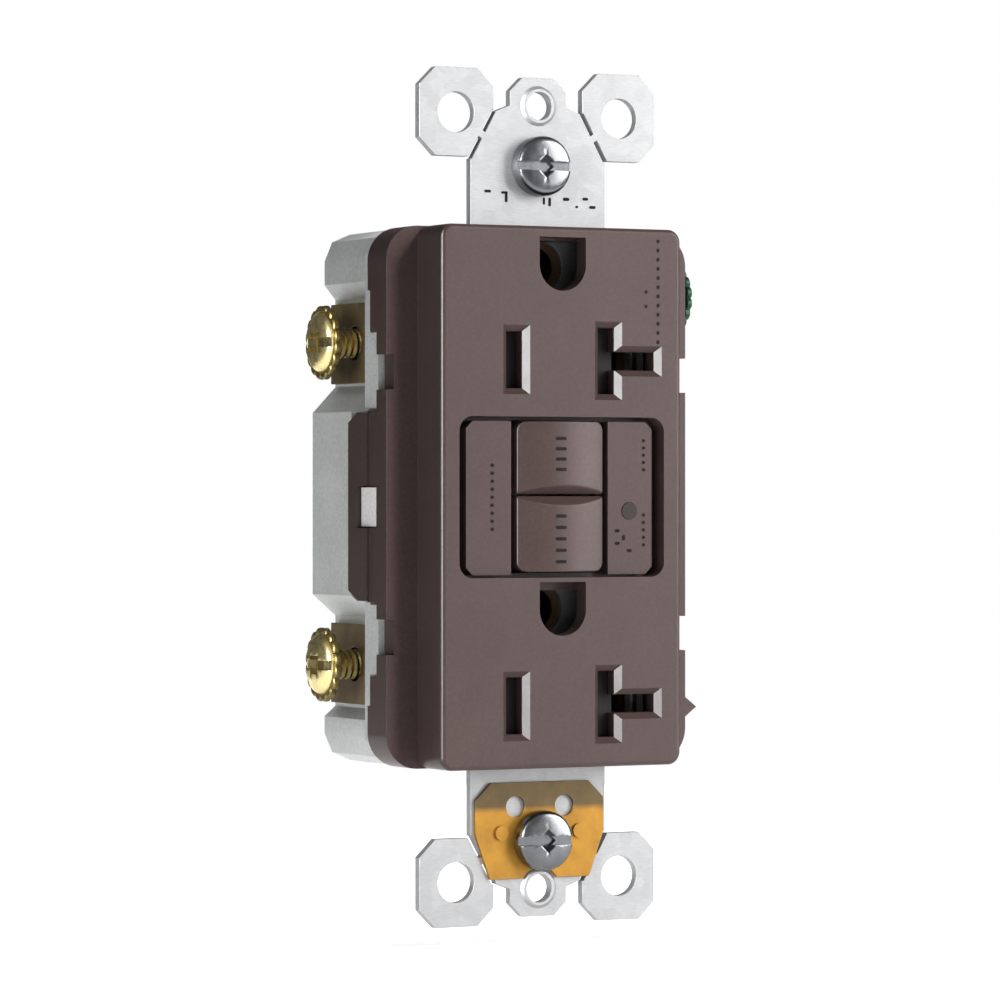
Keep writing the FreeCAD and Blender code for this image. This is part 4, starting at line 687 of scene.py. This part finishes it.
def side_screw(node, head):
    """A binding screw: a serrated rim round a raised dome with a slot and a square socket."""
    low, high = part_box(node)
    sign = 1 if low[0] > 0 else -1
    outer, tip = (high[0] / MM, low[0] / MM) if sign > 0 else (-low[0] / MM, -high[0] / MM)
    y, z = centre_of(node)[1:]
    dome = head - RIM_WIDE
    toothed_from = head - TOOTHED_WIDE
    back = outer - HEAD_THICK
    profile = [(0.3, outer), (dome * 0.35, outer - 0.02), (dome * 0.62, outer - 0.12),
               (dome * 0.82, outer - 0.3), (dome * 0.94, outer - 0.52), (dome, outer - 0.8),
               (dome + 0.04, outer - 1.0), (dome + 0.2, outer - 1.02), (dome + 0.3, outer - 0.92),
               (head - 0.25, outer - 0.95), (head - 0.05, outer - 1.1), (head, outer - 1.3),
               (head, back + 0.15), (head - 0.15, back), (SIDE_SHANK + 0.1, back),
               (SIDE_SHANK, back - 0.3)]
    profile += thread_profile(back - 0.5, tip + 0.5, SIDE_SHANK) + [(SIDE_SHANK - 0.4, tip)]

    def rim(radius, place, angle):
        along = sign * place
        if along > back - 0.1 and radius > toothed_from:
            gap = (1 - abs(math.sin(angle * HEAD_TEETH / 2))) ** TOOTH_GAP_POWER
            return radius - TOOTH_DEPTH * gap * min(1.0, (radius - toothed_from) / TOOTH_FADE)
        if along < back - 0.4:
            return threaded(radius, along, angle, SIDE_SHANK)
        return radius

    def cutter(name, deep, half_y, half_z):
        near, far = sorted((sign * (outer - deep), sign * (outer + CUT_CLEAR)))
        return block(name, (near, y - half_y, z - half_z), (far, y + half_y, z + half_z))

    mirrored = [(radius, sign * along) for radius, along in profile]
    item = turned(node + "_detailed", mirrored, "x", (y, z), SIDE_SEGMENTS, rim)
    slot = cutter("slot", SIDE_SLOT_DEEP, dome + 0.05, SIDE_SLOT_HALF)
    socket = cutter("socket", SIDE_SOCKET_DEEP, SIDE_SOCKET_HALF, SIDE_SOCKET_HALF)
    carved(item, slot, socket)
    softened(item, SIDE_ROUND, SCREW_ROUND_STEPS, SCREW_ROUND_FROM)
    painted_shade_on_screw(item, node, (y, z), dome, outer)


def mounting_screw(node):
    """A round head with a slot right across and a four-sided driver socket, on a real thread."""
    low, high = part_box(node)
    front, tip = low[1] / MM, high[1] / MM
    x, z = centre_of(node)[::2]
    seat = front + MOUNT_HEAD_THICK
    profile = [(0.3, front), (1.3, front + 0.02), (2.3, front + 0.07), (2.9, front + 0.14),
               (3.25, front + 0.22), (3.5, front + 0.36), (3.65, front + 0.58),
               (MOUNT_HEAD, front + 0.85), (MOUNT_HEAD, seat - 0.08), (MOUNT_HEAD - 0.08, seat),
               (MOUNT_NECK, seat), (MOUNT_NECK, MOUNT_NECK_END)]
    profile += thread_profile(MOUNT_THREAD_START, tip - 0.6, MOUNT_SHANK) + [(MOUNT_SHANK - 0.5, tip)]
    item = turned(node + "_detailed", profile, "y", (x, z), MOUNT_SEGMENTS,
                  partial(threaded, shank=MOUNT_SHANK))
    slot = block("slot", (x - MOUNT_SLOT_REACH, front - CUT_CLEAR, z - MOUNT_SLOT_HALF),
                 (x + MOUNT_SLOT_REACH, front + MOUNT_SLOT_DEEP, z + MOUNT_SLOT_HALF))
    socket = block("socket", (x - MOUNT_SOCKET_HALF, front - CUT_CLEAR, z - MOUNT_SOCKET_HALF),
                   (x + MOUNT_SOCKET_HALF, front + MOUNT_SOCKET_DEEP, z + MOUNT_SOCKET_HALF), 45.0)
    carved(item, slot, socket)
    softened(item, MOUNT_ROUND, SCREW_ROUND_STEPS, SCREW_ROUND_FROM)
    stands_for(item, node)


def all_screws():
    for side in SIDES:
        for feed in FEEDS:
            side_screw(f"{feed}_{side}_terminal_screw", TERMINAL_HEAD)
    side_screw("ground_terminal_screw", GROUND_HEAD)
    mounting_screw("upper_mounting_screw")
    mounting_screw("lower_mounting_screw")


# ---- springs -----------------------------------------------------------------------------

SPRING_TURNS = 8
STEPS_PER_TURN = 20
WIRE_SIDES = 8
WIRE_RADIUS = 0.15


def wire_ring(made, middle, outward):
    """The points round a spring's wire at one place along it."""
    ring = []
    for number in range(WIRE_SIDES):
        angle = 2 * math.pi * number / WIRE_SIDES
        offset = outward * math.cos(angle) + Vector((math.sin(angle), 0, 0))
        ring.append(made.verts.new((middle + WIRE_RADIUS * offset) * MM))
    return ring


def coiled(name, start, finish, radius):
    """A helical spring along X between two points in millimetres, of round wire."""
    made = bmesh.new()
    count = SPRING_TURNS * STEPS_PER_TURN
    rings = []
    for number in range(count + 1):
        share = number / count
        angle = 2 * math.pi * SPRING_TURNS * share
        outward = Vector((0, math.cos(angle), math.sin(angle)))
        rings.append(wire_ring(made, Vector(start).lerp(Vector(finish), share) + outward * radius, outward))
    for first, second in zip(rings, rings[1:]):
        bridged(made, first, second)
    made.faces.new(rings[0])
    made.faces.new(rings[-1])
    bmesh.ops.recalc_face_normals(made, faces=made.faces)
    return smooth(new_object(name, made))


def shutter_springs():
    """The spring behind each shutter, carried with the shutter springs' body."""
    low, high = (Vector(corner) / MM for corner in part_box("shutter_springs"))
    outer = (high.y - low.y) / 2
    y = (low.y + high.y) / 2
    for end, z in (("upper", high.z - outer), ("lower", low.z + outer)):
        spring = coiled(end + "_shutter_spring", (low.x + WIRE_RADIUS, y, z), (high.x - WIRE_RADIUS, y, z),
                        outer - WIRE_RADIUS)
        stands_for(spring, "shutter_springs")
        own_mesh(spring)


# ---- small print, as plain dashes --------------------------------------------------------

STRAP_FRONT = -1.2
FACE_FRONT = -7.8
PANEL_FRONT = -6.95
CORNER_STEPS = 3
DASH_PROUD = 0.05
BUTTON_DASH_PROUD = 0.07


def dash_outline(x, z, wide, tall):
    """A rounded dash as points in X and Z."""
    reach = min(wide, tall) / 2
    outline = []
    for across, up in ((1, 1), (-1, 1), (-1, -1), (1, -1)):
        middle_x, middle_z = x + across * (wide / 2 - reach), z + up * (tall / 2 - reach)
        start = math.atan2(up, across) - math.pi / 4
        for step in range(CORNER_STEPS + 1):
            angle = start + step * math.pi / 2 / CORNER_STEPS
            outline.append((middle_x + reach * math.cos(angle), middle_z + reach * math.sin(angle)))
    return outline


def dashes(name, node, front, strokes, proud=DASH_PROUD):
    """Flat dashes on a node's front: each is an x, a z, a width and a height in millimetres."""
    made = bmesh.new()
    for stroke in strokes:
        outline = dash_outline(*stroke)
        near, far = ([made.verts.new(Vector((x, y, z)) * MM) for x, z in outline]
                     for y in (front - proud, front + proud))
        bridged(made, near, far)
        made.faces.new(near)
        made.faces.new(far)
    bmesh.ops.remove_doubles(made, verts=made.verts, dist=0.001 * MM)
    bmesh.ops.recalc_face_normals(made, faces=made.faces)
    item = new_object(name, made)
    item.data.materials.append(MARK)
    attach(item, BODY_OF[node])


def column(x, top, foot, count, wide, tall):
    """A column of like dashes from a top height to a foot height."""
    step = (top - foot) / (count - 1)
    return [(x, top - step * number, wide, tall) for number in range(count)]


def small_print():
    dashes("strap_marks", "mounting_strap", STRAP_FRONT, [
        (-7.0, 37.7, 0.9, 0.35), (-4.7, 37.6, 0.9, 0.3), (-4.45, 37.0, 0.35, 1.2), (0.8, 36.7, 0.3, 0.9),
        (1.6, 36.6, 0.35, 1.1), (3.9, 37.0, 0.9, 0.4), (6.6, 37.1, 0.8, 0.35), (5.4, 36.1, 0.4, 0.3),
        (7.6, 36.1, 0.9, 0.35)])
    dashes("face_marks", "front_cover", FACE_FRONT,
           column(13.3, 31.7, 19.2, 12, 0.42, 0.5) + column(11.6, 25.4, 23.6, 2, 0.42, 0.42))
    dashes("panel_marks", "front_cover", PANEL_FRONT,
           column(-9.3, 3.9, -3.9, 9, 0.5, 0.45) + column(11.7, 7.0, 3.4, 5, 0.45, 0.4)
           + column(11.7, -2.2, -5.9, 5, 0.45, 0.4)
           + [(8.0, -4.15, 0.7, 0.4), (8.0, -5.7, 0.7, 0.4), (8.9, -5.0, 0.4, 0.7), (9.7, -6.6, 0.7, 0.4)])
    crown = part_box("test_button")[0][1] / MM + 0.06
    dashes("test_marks", "test_button", crown, column(-0.4, 7.2, 3.4, 4, 1.5, 0.42), BUTTON_DASH_PROUD)
    dashes("reset_marks", "reset_button", crown, column(-0.4, -2.3, -7.9, 5, 1.5, 0.42), BUTTON_DASH_PROUD)


add_camera()
add_world()
add_floor()
add_lights()
SCENE.view_settings.view_transform = "Standard"
coat_cad_nodes()
finish_shells()
all_screws()
shutter_springs()
small_print()
